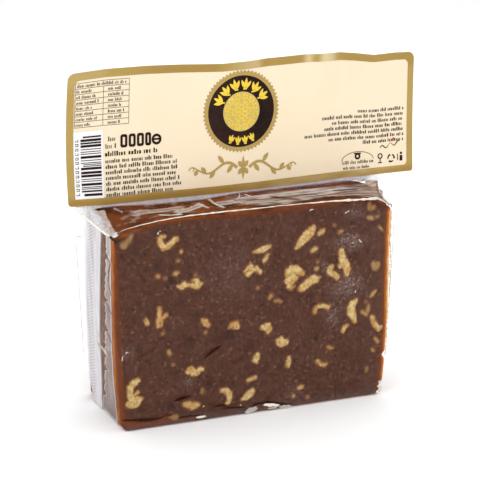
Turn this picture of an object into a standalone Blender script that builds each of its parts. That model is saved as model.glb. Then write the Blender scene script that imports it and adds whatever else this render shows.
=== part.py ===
"""A block of cocoa halva with walnuts in a clear shrunk bag that ends in a printed header.

The block stands on its long narrow side. Its front faces -Y, its length runs along X, and
the origin is the middle of the flat face that it stands on. All lengths are in metres.
"""
import math
import random

import bmesh
import bpy
import numpy as np
from mathutils import Matrix, Vector

OBJECT_NAME = "cocoa_walnut_halva"

# Halva block: a cast bar, a little shorter at its foot than at its top. Reach of each end
# from the middle: (at the foot, at the head)
LEFT_REACH = (0.0547, 0.0582)
RIGHT_REACH = (0.0563, 0.0577)
RIGHT_BULGE = 0.0018
# Bow of the right end beyond its straight line: heights and reaches
RIGHT_BOW_HEIGHTS = (0.0, 0.005, 0.012, 0.020, 0.029, 0.038, 0.046, 0.059, 0.070)
RIGHT_BOWS = (0.0, 0.0002, 0.0005, 0.00075, 0.0008, 0.0009, 0.0007, 0.00025, 0.0)
THICKNESS = 0.0443
HEIGHT = 0.0826
# Shoulders, worn down along the front and back edges: (start, drop, steepness)
LEFT_SHOULDER = (0.036, 0.0052, 1.8)
RIGHT_SHOULDER = (0.040, 0.0045, 2.4)
FRONT_WEAR = (-0.006, -0.020)
BACK_WEAR = (0.008, 0.021)
BACK_WEAR_SHARE = 0.6
EDGE_RADIUS = 0.0022
CUTS_LENGTH = 23
CUTS_THICKNESS = 13
CUTS_HEIGHT = 7

# Walnut pieces: outlines that stand a little proud of the cut faces
RELIEF = 0.0004
ROOT_DEPTH = 0.0010
LARGE_PIECE = 0.0040
LARGE_SIDES = 13
SMALL_SIDES = 9

# Printed header: the flat top of the bag, which leans back and turns slightly
HEADER_CORNERS = {
    "foot_left": Vector((-0.0695, -0.0030, 0.0854)),
    "foot_right": Vector((0.0806, 0.0035, 0.0864)),
    "head_left": Vector((-0.0677, 0.0005, 0.1340)),
    "head_right": Vector((0.0804, 0.0060, 0.1343)),
}
HEADER_THICKNESS = 0.0007
HEADER_CORNER_RADIUS = 0.0022
HEADER_LEFT_BOW = 0.0009
HEADER_RIGHT_DIP = 0.0004
HEADER_BELLY = 0.0012
HEADER_COLUMNS = 24
HEADER_ROWS = 6
# Rise of the header's upper edge over a straight line: places along it and heights
HEAD_PLACES = (0.0, 0.03, 0.10, 0.21, 0.31, 0.42, 0.49, 0.56, 0.66, 0.77, 0.81, 0.87, 0.94, 1.0)
HEAD_RISES = (0.0003, 0.0007, 0.0016, 0.0019, 0.0015, 0.0009, 0.0013, 0.0021, 0.0028, 0.0027,
              0.0022, 0.0010, 0.0014, 0.0013)

# Clear top of the bag: film that runs from the block's shoulders to the header's foot
FILM_RIM = 0.0009
FILM_INSET = 0.0016
NECK_HALF_WIDTH = 0.0007
NECK_STEEPNESS = 5.0
WING_SHARE = 0.16
WING_TIP_INSET = 0.015
BAG_COLUMNS = 36
BAG_ROWS = 20

GAP = 0.0003

# The larger walnut pieces of the front face, in millimetres and degrees:
# (x, z, length, breadth, turn, bend)
FRONT_PIECES = [
    (-53, 75, 7.0, 4.0, 65, 0.2),
    (-37, 73.5, 9.0, 4.0, 5, 0.7),
    (-28, 56, 10.5, 3.6, 12, 0.3),
    (-40.5, 44, 7.5, 4.0, 80, 0.2),
    (-45.5, 43, 3.2, 2.0, 110, 0.0),
    (-21.5, 40, 4.6, 2.8, 130, 0.1),
    (-10, 37.5, 5.2, 3.2, 15, 0.2),
    (-37, 30, 2.4, 1.8, 60, 0.0),
    (-26, 21.5, 7.2, 3.8, 10, 0.3),
    (-50.5, 15.5, 12.5, 5.6, 96, 0.15),
    (-27, 7, 7.0, 3.6, 0, 0.1),
    (-12.5, 9, 7.4, 3.8, 118, 0.2),
    (19.5, 70, 13.0, 5.0, 56, 0.05),
    (26, 71.5, 3.2, 2.6, 70, 0.0),
    (1.5, 66.5, 8.4, 3.0, 22, 0.1),
    (3, 63.5, 3.6, 2.2, 60, 0.0),
    (-2.5, 58.5, 7.6, 4.0, 15, 0.4),
    (23.5, 64.5, 3.2, 2.0, 20, 0.0),
    (15, 54.5, 10.4, 7.6, 75, 0.1),
    (23, 51, 10.6, 4.6, 38, 0.0),
    (37, 57.5, 11.0, 4.2, 104, 0.1),
    (31.5, 54, 6.4, 3.8, 125, 0.1),
    (51, 55, 3.6, 3.0, 90, 0.0),
    (27.5, 40.5, 7.6, 2.4, 15, -0.9),
    (41.5, 37.5, 10.4, 4.4, 84, 0.3),
    (38, 31, 4.2, 2.8, 55, 0.4),
    (49.5, 43.5, 3.6, 1.9, 45, 0.0),
    (48, 37.5, 5.8, 2.4, 80, 0.0),
    (51.5, 31, 7.6, 3.2, 122, 0.1),
    (3.5, 34.5, 4.6, 3.8, 30, 0.0),
    (10.5, 28.5, 6.0, 4.0, 160, 0.1),
    (0, 23, 4.6, 3.2, 70, 0.0),
    (13.5, 19.5, 5.2, 2.4, 88, 0.0),
    (28.5, 17, 5.6, 2.2, 160, 0.7),
    (31.5, 23.5, 2.8, 1.6, 170, 0.0),
    (-2.5, 14.5, 4.4, 2.2, 10, 0.0),
    (-3, 8.5, 7.0, 4.0, 40, 0.2),
    (19, 8.5, 2.8, 2.0, 20, 0.0),
    (47.5, 77, 3.2, 2.4, 70, 0.0),
]

# Scattered pieces of the other faces: (face, number of pieces, seed)
SCATTERED_FACES = [
    ("back", 34, 11),
    ("left", 8, 23),
    ("right", 8, 37),
]


def clear_scene():
    """Remove every object that the file opened with."""
    for item in list(bpy.data.objects):
        bpy.data.objects.remove(item, do_unlink=True)


def new_collection(name):
    """Add a collection under the scene and return it."""
    collection = bpy.data.collections.new(name)
    bpy.context.scene.collection.children.link(collection)
    return collection


def finish_material(name, colour, roughness, metallic=0.0):
    """Return a Principled material of one colour."""
    material = bpy.data.materials.new(name)
    material.use_nodes = True
    shader = material.node_tree.nodes["Principled BSDF"]
    shader.inputs["Base Color"].default_value = (*colour, 1.0)
    shader.inputs["Roughness"].default_value = roughness
    shader.inputs["Metallic"].default_value = metallic
    return material


def object_from_bmesh(bm, name, collection, material=None):
    """Turn a bmesh into an object of the collection."""
    bmesh.ops.recalc_face_normals(bm, faces=bm.faces)
    mesh = bpy.data.meshes.new(name)
    bm.to_mesh(mesh)
    bm.free()
    item = bpy.data.objects.new(name, mesh)
    collection.objects.link(item)
    if material:
        mesh.materials.append(material)
    return item


def apply_modifiers(item):
    """Replace an object's mesh by its evaluated one and drop the modifiers."""
    graph = bpy.context.evaluated_depsgraph_get()
    mesh = bpy.data.meshes.new_from_object(item.evaluated_get(graph))
    item.modifiers.clear()
    item.data = mesh


# Block

def ease(start, end, value):
    """Smooth step from 0 at start to 1 at end."""
    share = min(1.0, max(0.0, (value - start) / (end - start)))
    return share * share * (3 - 2 * share)


def end_reach(side, y, z):
    """Distance of the block's left (-1) or right (1) end from the middle."""
    foot, head = LEFT_REACH if side < 0 else RIGHT_REACH
    reach = foot + (head - foot) * z / HEIGHT
    if side > 0:
        reach += RIGHT_BULGE * (1 - (2 * y / THICKNESS) ** 2) * z / HEIGHT
        reach += float(np.interp(z, RIGHT_BOW_HEIGHTS, RIGHT_BOWS))
    return reach


def top_height(x, y):
    """Height of the block's top, which drops at the outer parts of its long edges."""
    start, drop, steepness = LEFT_SHOULDER if x < 0 else RIGHT_SHOULDER
    head = LEFT_REACH[1] if x < 0 else RIGHT_REACH[1]
    share = min(1.0, max(0.0, abs(x) - start) / (head - start))
    wear = ease(*FRONT_WEAR, y) + BACK_WEAR_SHARE * ease(*BACK_WEAR, y)
    return HEIGHT - drop * wear * share ** steepness


def build_block(collection, material):
    """Cast bar: a subdivided box with tapered ends, dropped shoulders and rounded edges."""
    bm = bmesh.new()
    bmesh.ops.create_cube(bm, size=1.0)
    for axis, cuts in enumerate((CUTS_LENGTH, CUTS_THICKNESS, CUTS_HEIGHT)):
        along = [edge for edge in bm.edges
                 if abs(edge.verts[0].co[axis] - edge.verts[1].co[axis]) > 1e-6]
        bmesh.ops.subdivide_edges(bm, edges=along, cuts=cuts, use_grid_fill=True)
    for vert in bm.verts:
        share = vert.co.z + 0.5
        y = vert.co.y * THICKNESS
        x = 2.0 * vert.co.x * end_reach(math.copysign(1.0, vert.co.x), y, share * HEIGHT)
        vert.co = Vector((x, y, share * top_height(x, y)))
    block = object_from_bmesh(bm, "halva_block", collection, material)
    bevel = block.modifiers.new("rounded edges", "BEVEL")
    bevel.width = EDGE_RADIUS
    bevel.segments = 3
    bevel.limit_method = "ANGLE"
    bevel.angle_limit = math.radians(50)
    return block


# Walnut pieces

def walnut_outline(length, breadth, bend, draw):
    """Points of a lobed outline that is bent along its length."""
    sides = LARGE_SIDES if length > LARGE_PIECE else SMALL_SIDES
    first, second = draw.uniform(0, math.tau), draw.uniform(0, math.tau)
    points = []
    for step in range(sides):
        angle = math.tau * step / sides
        swell = 1 + 0.15 * math.sin(3 * angle + first) + 0.08 * math.sin(5 * angle + second)
        along = 0.5 * length * swell * math.cos(angle)
        across = 0.5 * breadth * swell * math.sin(angle)
        across += bend * breadth * ((2 * along / length) ** 2 - 0.5)
        points.append((along, across))
    return points


def face_frame(face, a, b, turn):
    """Matrix that lays a flat outline on a face at (a, b), with local Z pointing out."""
    place, right = {
        "front": (Vector((a, -THICKNESS / 2, b)), Vector((1, 0, 0))),
        "back": (Vector((-a, THICKNESS / 2, b)), Vector((-1, 0, 0))),
        "left": (Vector((-end_reach(-1, -a, b), -a, b)), Vector((0, -1, 0))),
        "right": (Vector((end_reach(1, a, b), a, b)), Vector((0, 1, 0))),
    }[face]
    up = Vector((0, 0, 1))
    frame = Matrix((right, up, right.cross(up))).transposed().to_4x4()
    return Matrix.Translation(place) @ frame @ Matrix.Rotation(turn, 4, "Z")


def add_walnut(collection, face, a, b, length, breadth, turn, bend, draw):
    """One walnut piece: an outline pushed through the face, with a slightly domed cap."""
    outline = walnut_outline(length, breadth, bend, draw)
    bm = bmesh.new()
    bmesh.ops.create_circle(bm, cap_ends=True, segments=len(outline), radius=1.0)
    for vert, point in zip(bm.verts, outline):
        vert.co = Vector((*point, -ROOT_DEPTH))
    grown = bmesh.ops.extrude_face_region(bm, geom=bm.faces[:])
    cap = [item for item in grown["geom"] if isinstance(item, bmesh.types.BMVert)]
    for vert in cap:
        vert.co.z = RELIEF
    bmesh.ops.transform(bm, matrix=face_frame(face, a, b, turn), verts=bm.verts)
    if face in ("left", "right"):
        side = -1 if face == "left" else 1
        middle = end_reach(side, side * a, b)
        for vert in bm.verts:
            vert.co.x += side * (end_reach(side, vert.co.y, vert.co.z) - middle)
    object_from_bmesh(bm, "walnut_" + face, collection)


def face_limits(face):
    """Half width, lowest and highest place for the middle of a piece on a face."""
    if face == "back":
        return 0.047, 0.007, 0.074
    return 0.014, 0.009, 0.070


def scatter_walnuts(collection, face, count, seed):
    """Spread pieces over a face, the largest first, clear of each other."""
    draw = random.Random(seed)
    half_width, lowest, highest = face_limits(face)
    placed = []
    for step in range(count):
        share = 1 - step / count
        length = 0.0024 + 0.0080 * share ** 1.6 * draw.uniform(0.8, 1.1)
        breadth = length * draw.uniform(0.40, 0.62)
        for _ in range(60):
            a = draw.uniform(-half_width, half_width)
            b = draw.uniform(lowest, highest)
            if all(math.hypot(a - x, b - y) > 0.62 * (length + other) for x, y, other in placed):
                placed.append((a, b, length))
                turn = draw.uniform(0, math.pi)
                bend = draw.choice((0.0, 0.1, 0.3, 0.5))
                add_walnut(collection, face, a, b, length, breadth, turn, bend, draw)
                break


def fuse_walnuts(block, pieces):
    """Join every walnut piece to the block in one union and drop the loose ones."""
    union = block.modifiers.new("walnut pieces", "BOOLEAN")
    union.operation = "UNION"
    union.solver = "EXACT"
    union.operand_type = "COLLECTION"
    union.collection = pieces
    apply_modifiers(block)
    for item in list(pieces.objects):
        bpy.data.objects.remove(item, do_unlink=True)
    bpy.data.collections.remove(pieces)


def build_walnuts(block):
    """Set the walnut pieces on all the faces that show and fuse them to the block."""
    pieces = new_collection("walnut_pieces")
    draw = random.Random(5)
    for x, z, length, breadth, turn, bend in FRONT_PIECES:
        add_walnut(pieces, "front", x / 1000, z / 1000, length / 1000, breadth / 1000,
                   math.radians(turn), bend, draw)
    for face, count, seed in SCATTERED_FACES:
        scatter_walnuts(pieces, face, count, seed)
    fuse_walnuts(block, pieces)


# Header

def header_point(u, v):
    """Point of the header: u runs 0 to 1 from left to right, v from its foot to its head."""
    foot = HEADER_CORNERS["foot_left"].lerp(HEADER_CORNERS["foot_right"], u)
    head = HEADER_CORNERS["head_left"].lerp(HEADER_CORNERS["head_right"], u)
    point = foot.lerp(head, v)
    swell = math.sin(math.pi * v)
    point.x -= (HEADER_LEFT_BOW * (1 - u) ** 2 + HEADER_RIGHT_DIP * u ** 2) * swell
    point.y -= HEADER_BELLY * math.sin(math.pi * u) * swell
    point.z += float(np.interp(u, HEAD_PLACES, HEAD_RISES)) * max(0.0, v) ** 1.5
    return point


def build_header(collection, material):
    """Flat printed panel with rounded corners, slightly bellied and twisted."""
    wide = (HEADER_CORNERS["foot_right"] - HEADER_CORNERS["foot_left"]).length
    tall = (HEADER_CORNERS["head_left"] - HEADER_CORNERS["foot_left"]).length
    bm = bmesh.new()
    bmesh.ops.create_grid(bm, x_segments=HEADER_COLUMNS, y_segments=HEADER_ROWS, size=0.5)
    bmesh.ops.scale(bm, vec=(wide, tall, 1.0), verts=bm.verts)
    corners = [vert for vert in bm.verts if len(vert.link_edges) == 2]
    bmesh.ops.bevel(bm, geom=corners, offset=HEADER_CORNER_RADIUS, segments=4, profile=0.5,
                    affect="VERTICES")
    for vert in bm.verts:
        vert.co = header_point(vert.co.x / wide + 0.5, vert.co.y / tall + 0.5)
    header = object_from_bmesh(bm, "header_panel", collection, material)
    solid = header.modifiers.new("thickness", "SOLIDIFY")
    solid.thickness = HEADER_THICKNESS
    solid.offset = 0.0
    return header


# Clear top of the bag

def bag_point(u, v, upper):
    """Point of the bag's top: u runs -1 to 1 along the block, v from front to back."""
    side = math.copysign(1.0, u)
    wing = max(0.0, abs(u) - (1 - WING_SHARE)) / WING_SHARE
    on_block = min(abs(u) / (1 - WING_SHARE), 1.0)
    head = LEFT_REACH[1] if side < 0 else RIGHT_REACH[1]
    block_x = side * on_block * (head - FILM_INSET)
    tip = header_point(1.0 - WING_TIP_INSET if side > 0 else WING_TIP_INSET, 0.0)
    x = block_x + (tip.x - block_x) * wing
    foot_share = (x - HEADER_CORNERS["foot_left"].x) / (
        HEADER_CORNERS["foot_right"].x - HEADER_CORNERS["foot_left"].x)
    foot = header_point(min(max(foot_share, 0.0), 1.0), 0.0)
    half_depth = 0.5 * THICKNESS - FILM_INSET
    half_depth += (NECK_HALF_WIDTH - half_depth) * wing
    centre = foot.y * wing
    y = centre + half_depth * math.copysign(abs(v) ** 1.3, v)
    ridge = foot.z - HEADER_THICKNESS / 2 - GAP
    lowest = top_height(block_x, y) + GAP
    seat = lowest + (ridge - 2 * NECK_HALF_WIDTH - lowest) * wing ** 1.3
    if not upper:
        return Vector((x, y, seat))
    away = min(1.0, max(0.0, abs(y - foot.y) - NECK_HALF_WIDTH) / (half_depth + 0.002))
    rim = seat + FILM_RIM
    return Vector((x, y, rim + (ridge - rim) * (1 - away) ** NECK_STEEPNESS))


def build_bag_top(collection, material):
    """Closed body between the block's top and the header's foot, drawn out into two wings."""
    bm = bmesh.new()
    bmesh.ops.create_grid(bm, x_segments=BAG_COLUMNS, y_segments=BAG_ROWS, size=1.0)
    flat = {vert: (vert.co.x, vert.co.y) for vert in bm.verts}
    grown = bmesh.ops.extrude_face_region(bm, geom=bm.faces[:])
    top = [item for item in grown["geom"] if isinstance(item, bmesh.types.BMVert)]
    for vert in top:
        vert.co = bag_point(vert.co.x, vert.co.y, upper=True)
    for vert, (u, v) in flat.items():
        vert.co = bag_point(u, v, upper=False)
    return object_from_bmesh(bm, "bag_top", collection, material)


def main():
    clear_scene()
    collection = new_collection(OBJECT_NAME)
    halva = finish_material("cocoa halva", (0.125, 0.060, 0.040), 0.45)
    film = finish_material("clear film", (0.80, 0.74, 0.70), 0.12)
    print_finish = finish_material("cream print", (0.98, 0.83, 0.60), 0.35)
    block = build_block(collection, halva)
    build_walnuts(block)
    build_bag_top(collection, film)
    build_header(collection, print_finish)


main()
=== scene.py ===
"""Looks of a pack of cocoa walnut halva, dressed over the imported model.

The block stands at the origin on its long narrow side, its front faces -Y and its length
runs along X. Lengths are in metres, and the lists of places on a face are in millimetres.
"""
import math
import random

import bmesh
import bpy
import numpy as np
from bpy.props import FloatProperty, FloatVectorProperty, PointerProperty
from mathutils import Matrix, Vector, noise


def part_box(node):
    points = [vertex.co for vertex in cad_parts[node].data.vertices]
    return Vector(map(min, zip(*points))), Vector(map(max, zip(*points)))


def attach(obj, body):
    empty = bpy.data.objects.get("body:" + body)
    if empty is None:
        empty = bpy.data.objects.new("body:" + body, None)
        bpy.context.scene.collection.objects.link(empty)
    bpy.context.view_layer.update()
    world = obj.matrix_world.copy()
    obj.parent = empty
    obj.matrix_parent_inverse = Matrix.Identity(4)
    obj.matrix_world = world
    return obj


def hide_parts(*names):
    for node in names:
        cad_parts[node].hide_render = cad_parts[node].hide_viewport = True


bl_info = {
    "name": "Cocoa walnut halva pack",
    "version": (1, 0, 0),
    "blender": (4, 5, 0),
    "location": "3D View > Sidebar > Halva",
    "description": "Builds a halva block with walnuts in a clear bag with a printed header",
    "category": "Object",
}

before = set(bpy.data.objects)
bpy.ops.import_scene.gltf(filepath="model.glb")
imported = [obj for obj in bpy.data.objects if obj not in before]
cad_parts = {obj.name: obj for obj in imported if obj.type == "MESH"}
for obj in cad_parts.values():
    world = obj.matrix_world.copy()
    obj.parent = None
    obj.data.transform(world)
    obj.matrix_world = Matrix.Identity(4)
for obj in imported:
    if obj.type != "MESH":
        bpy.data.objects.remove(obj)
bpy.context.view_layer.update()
BLOCK_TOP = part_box("halva_block")[1][2]

MM = 0.001
RELIEF = 0.4 * MM
# Width of the stained margin round a walnut piece, its mesh cells and the print's, in mm
HALO, KERNEL_CELL, PRINT_CELL = 0.55, 0.3, 2.2
# Columns and rows of the sheets of film
END_GRID, WELD_GRID, TOP_GRID, GUSSET_GRID = (106, 190), (70, 200), (460, 141), (41, 24)
# Where the top is measured over an end
END_PLACE = 57 * MM
# Height at which the film's edges at the ends stop, and how far inside an end a wing starts
EDGE_END, WING_START = 76.5 * MM, 0.7 * MM

# Walnut pieces of the front face: depth under the cut, tan, and strokes that list the x, z
# and radius of one point after another
FRONT_KERNELS = [
    (0.6, 0.3, [(-54.3, 73.8, 1.3, -53, 74.9, 1, -51.7, 76.5, 0.9, -51.3, 77.4, 0.61)]),
    (0, 0.1, [(-40.3, 75.2, 0.9, -39.9, 72.9, 1.1, -38.6, 71.6, 1.2, -36.6, 72.1, 1, -34.8, 73.7,
     1.1, -33.8, 74.3, 1.1), (-39.6, 76, 0.62, -38.6, 75.6, 0.55)]),
    (0.2, 0.5, [(-31.8, 69.3, 0.7)]),
    (0.4, 0.5, [(-33, 65.9, 0.63)]),
    (0.1, 0.2, [(-34.6, 60.7, 0.4, -33.8, 60.9, 0.8, -32.9, 61.1, 0.45)]),
    (0.3, 0.7, [(-41, 60.6, 0.8)]),
    (0.6, 0.8, [(-38.2, 59.5, 0.55)]),
    (0, 0.1, [(-32.8, 55.8, 0.7, -31.4, 55.4, 1.1, -30.6, 56.8, 0.8), (-31, 55.9, 0.9, -28.7, 55.9,
     0.7, -26.9, 55.5, 0.9, -25.2, 55.1, 1.2, -23.9, 55.8, 0.8), (-26.9, 57.6, 0.56, -25.4, 57.3,
     0.9, -25.2, 55.2, 1.2)]),
    (0.6, 0.4, [(-26, 59.5, 0.61)]),
    (0.1, 0, [(-2.2, 66.1, 0.44, -0.7, 66.3, 0.9, 1.2, 66.7, 1.3, 3.2, 67.3, 1.1, 4.7, 67.9,
     0.55)]),
    (0.15, 0, [(2.4, 62.4, 0.8, 3.1, 63.3, 0.9, 3.8, 64.6, 0.55)]),
    (0, 0.15, [(-5.6, 58.8, 0.55, -4.5, 57.4, 0.8, -3.1, 58.7, 0.9, -3.4, 61, 0.8, -3.4, 61.8,
     0.38), (-5.6, 58.8, 0.55, -4.4, 59.9, 0.8, -3.4, 60.9, 0.8), (-3.1, 59.5, 0.9, -1.2, 59.3, 0.8,
     0.6, 58.1, 0.9), (-0.9, 60, 0.6)]),
    (0, 0.05, [(12.2, 57, 1.1, 13.9, 57.6, 1.6, 15.9, 57.8, 1.3, 17.4, 56.2, 1.5, 18.7, 55.5, 0.9),
     (12.8, 55.3, 1.6, 14.2, 54.9, 1.7, 15.6, 54, 1.3), (12.3, 53.2, 1.2, 13.7, 52.5, 1.5, 13, 50.8,
     1)]),
    (0.4, 0, [(13.9, 50, 0.9, 15.1, 50.6, 0.39)]),
    (0.5, 0.5, [(-0.3, 51.6, 0.61)]),
    (0.35, 0.7, [(4.7, 46.8, 0.45, 5.4, 48, 0.7)]),
    (0.35, 0.8, [(7.3, 45.6, 0.5, 8.3, 45.6, 0.62, 9.6, 44.9, 0.45)]),
    (0, 0.05, [(15.5, 66, 0.58, 17, 67.1, 1.2, 18.5, 69, 1.7, 20.1, 70.5, 2.1, 21.7, 72, 1.8, 22.9,
     73.4, 1.1)]),
    (0.15, 0.1, [(25.6, 70.8, 0.7, 26.5, 71.6, 1.1, 27.4, 72.3, 0.59)]),
    (0.3, 0, [(22.5, 64, 0.7, 23.7, 64.8, 1, 24.7, 65, 0.47)]),
    (0.45, 0.3, [(34.5, 70.6, 0.8, 35.3, 70.9, 0.59)]),
    (0.35, 0.3, [(24.7, 56.7, 0.9)]),
    (0.7, 0.3, [(25.1, 59.5, 0.53)]),
    (0, 0.05, [(18.4, 49.4, 1.4, 20.4, 50.9, 1.7, 22.8, 52.3, 1.7, 24.7, 52.4, 1.4, 26.2, 53, 0.48),
     (23.6, 53.8, 0.8, 23.7, 52.8, 1.2)]),
    (0.05, 0.05, [(31.4, 57, 0.9, 30.4, 55.5, 1.3, 30.7, 54.6, 1.3, 32.6, 53.7, 1.1, 33.7, 52.6,
     1.2, 33.6, 51.7, 0.7)]),
    (0, 0.05, [(35.3, 63, 1, 35.7, 61.3, 1.4, 36.1, 59, 1.6, 37.4, 57.1, 1.7, 38.2, 55, 1.5, 38.1,
     53.3, 1.2), (34.8, 56.7, 0.7, 36.1, 57.8, 1.1)]),
    (0.5, 0.3, [(49.9, 56.3, 1, 50.9, 54.8, 1.5, 51.8, 55.9, 1)]),
    (0.55, 0.6, [(47.1, 80.8, 0.54, 47.4, 79.3, 1, 48.8, 79.3, 0.9)]),
    (0.5, 0.1, [(46.8, 75.4, 0.7, 48.5, 75.1, 0.8)]),
    (0.6, 0.3, [(50.4, 75.4, 0.6, 51.2, 75.6, 0.48)]),
    (0.35, 0.3, [(51.7, 71.4, 0.36, 53.3, 69.7, 0.36)]),
    (0.2, 0.5, [(48.9, 42.6, 0.43, 50.1, 43.7, 0.8, 51.3, 44.8, 0.43)]),
    (0.6, 0.3, [(47.1, 40.6, 0.61)]),
    (0.6, 0.9, [(32.1, 73.6, 0.47)]),
    (0.05, 0.35, [(-40.5, 47.8, 0.8, -40.5, 45.7, 0.8, -40.7, 44.3, 0.9, -41.1, 42.7, 0.8, -41, 41,
     0.7), (-40, 44, 0.8, -39.6, 41.7, 0.56, -39.8, 40.7, 0.28), (-39.9, 44, 0.7, -38.6, 44.4, 0.7,
     -37.8, 45.1, 0.7)]),
    (0.15, 0.05, [(-46, 43.9, 0.7, -45.5, 42.5, 0.8)]),
    (0.05, 0.05, [(-23, 41.2, 0.7, -21.8, 40.1, 1.3, -20.9, 39.1, 0.9)]),
    (0.5, 0.6, [(-21.8, 36.2, 0.57)]),
    (0.4, 0.6, [(-39.1, 37.9, 0.56)]),
    (0.3, 0.6, [(-36.8, 30.3, 0.62, -36.4, 29.4, 0.7)]),
    (0.6, 0.9, [(-35, 24.8, 0.46)]),
    (0, 0, [(-28.8, 21.1, 1, -27.8, 22, 1.3, -26.9, 20.7, 1.4, -25.5, 20.4, 1.3, -24.2, 21.4, 1,
     -23.2, 21.5, 0.8)]),
    (0.05, 0.05, [(-49.3, 20.4, 1, -50.7, 19.6, 1.4, -52.3, 18.1, 1.2, -52.4, 15.3, 1.2, -51.8,
     13.5, 1.5), (-49.3, 15.8, 0.7, -50.4, 15, 0.62), (-53, 11.1, 1.2, -51.4, 12, 1.7, -49.4, 12.4,
     1.6, -48, 12.7, 0.8), (-51.4, 10.9, 1.4, -49.7, 10.9, 1.1)]),
    (0.05, 0.35, [(-30.1, 7.8, 1, -28.3, 7.5, 1.4, -27.2, 6.7, 1.5, -25.4, 7, 1.2, -24.5, 7.1,
     0.7)]),
    (0.45, 0.7, [(-35.6, 3.4, 0.7, -33.8, 3.1, 1)]),
    (0.5, 0.8, [(-22.8, 13, 0.41, -23.1, 11.7, 0.41)]),
    (0.05, 0.2, [(-11.9, 37, 0.46, -10.7, 38, 1.1, -9.2, 38.1, 1.2, -8.7, 36.9, 1, -10.1, 36.6,
     0.52)]),
    (0.05, 0.1, [(2, 35.3, 0.9, 3.5, 35.4, 1.5, 4.5, 34.3, 1.5, 4.2, 33.1, 0.8), (4.6, 36.3, 0.59,
     4.1, 35.3, 1.2)]),
    (0.05, 0.05, [(8.5, 28.7, 0.9, 10, 29.4, 1.2, 10.1, 28.1, 1.7, 11.8, 28, 1.4, 12.4, 28.3,
     0.8)]),
    (0.1, 0, [(0.1, 24.6, 0.7, -0.3, 23.3, 1.4, -0.7, 22.4, 1.3, -0.1, 21.2, 0.53)]),
    (0.1, 0, [(13.6, 21.5, 0.48, 13.5, 19.9, 1, 13.2, 18.2, 1)]),
    (0.1, 0.35, [(-3.6, 14.3, 0.8, -2.1, 14.7, 0.9, -0.8, 14.9, 0.7)]),
    (0.05, 0.15, [(-15, 11.5, 0.8, -13.1, 11.2, 1.2, -11.6, 9.9, 1.1, -11.6, 8.1, 1.1, -12, 6.6,
     0.9, -12.7, 5.9, 0.53)]),
    (0.05, 0.05, [(-6.2, 6.7, 0.59, -4.7, 7.1, 1.2, -3.2, 8.4, 1.6, -2, 9.4, 1.2)]),
    (0.35, 0.1, [(16, 4.9, 0.7)]),
    (0.2, 0.3, [(18.5, 8, 0.8)]),
    (0.1, 0.05, [(24.5, 38.9, 0.8, 24.8, 40.5, 0.8, 26, 41.3, 0.8, 28.1, 41.1, 0.9, 30.1, 40.3, 0.9,
     30.7, 40.6, 0.7)]),
    (0, 0, [(42.5, 41.5, 1, 41.1, 40.5, 1.5, 40.3, 38.7, 1.8, 40.7, 36.8, 1.8, 41.6, 35.1, 1.5,
     42.3, 33.1, 0.9)]),
    (0.45, 0.4, [(48.3, 39.1, 0.56, 48.1, 37.2, 0.8, 47.3, 35.5, 0.8, 45.5, 36.7, 0.7)]),
    (0.1, 0.1, [(50.2, 33.8, 1, 50.6, 32.1, 1, 51.8, 30.3, 1.1, 53.3, 28.8, 1.2, 54.3, 29.3, 0.7)]),
    (0.1, 0.15, [(37.2, 29.7, 0.9, 37.7, 31, 0.9, 39, 31.6, 0.7)]),
    (0.3, 0.8, [(30.9, 23.6, 0.61, 32, 23.1, 0.61, 32.9, 23, 0.33)]),
    (0.15, 0.6, [(26.2, 18.2, 0.8, 27.4, 16.9, 0.7, 29.1, 16.3, 0.8, 30.2, 16.6, 0.56)]),
    (0.4, 0.5, [(51.8, 24.6, 0.57, 53, 23.1, 0.8)]),
    (0.3, 0.7, [(50.9, 20, 0.62, 51.5, 19.2, 0.4)]),
    (0.15, 0.3, [(18.3, 7.9, 0.7, 19.3, 8.3, 0.9)]),
    (0.3, 0.2, [(15.9, 4.9, 0.7)]),
    (0.5, 0.9, [(22.3, 3.5, 0.8)]),
    (0.6, 0.8, [(48.6, 12.2, 0.63, 48.5, 11.1, 0.4)]),
]

# Creases of the front face: (points, width, depth)
FRONT_CREASES = [
    ([(-42, 0), (-30, 8), (-18, 21), (-7, 34), (4, 42)], 4.4, 0.34),
    ([(-58, 5.4), (-53, 4.9), (-45, 3.6), (-40, 3.3), (-36, 4.4)], 1.4, 0.35),
    ([(-22, 26), (-19, 28), (-15.5, 29.8)], 1.8, 0.4),
    ([(-34.4, 10.2), (-28, 10.9)], 1.6, 0.35),
    ([(-3, 1.6), (-1, 3.3), (5, 3.6), (11, 1.9), (16, 1.7)], 1.6, 0.4),
]

# Dark cracks of the front face, slivers of painted shadow: (points, widest)
FRONT_CRACKS = [
    ([(-22.6, 25.4), (-19.8, 27.6), (-18.2, 28.5), (-15, 30)], 1.35),
    ([(-35, 10), (-31.5, 10.5), (-27.2, 11)], 1.25),
    ([(-55.4, 5), (-52.9, 4.7), (-45, 3.7), (-40.4, 3.6), (-37.2, 4.6)], 1.3),
    ([(-37.6, 4.7), (-33, 2.9), (-26.6, 2.8), (-22, 2.2)], 1),
    ([(-18.6, 5), (-15.5, 5.6), (-12.4, 4.6)], 0.9),
    ([(-2.8, 1.7), (-1, 3.3), (0.8, 3.8), (5, 3.7), (11.1, 2.1), (15.5, 1.9)], 1.1),
    ([(-15, 4.2), (-9, 3.6), (-4, 3)], 0.8),
]

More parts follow.
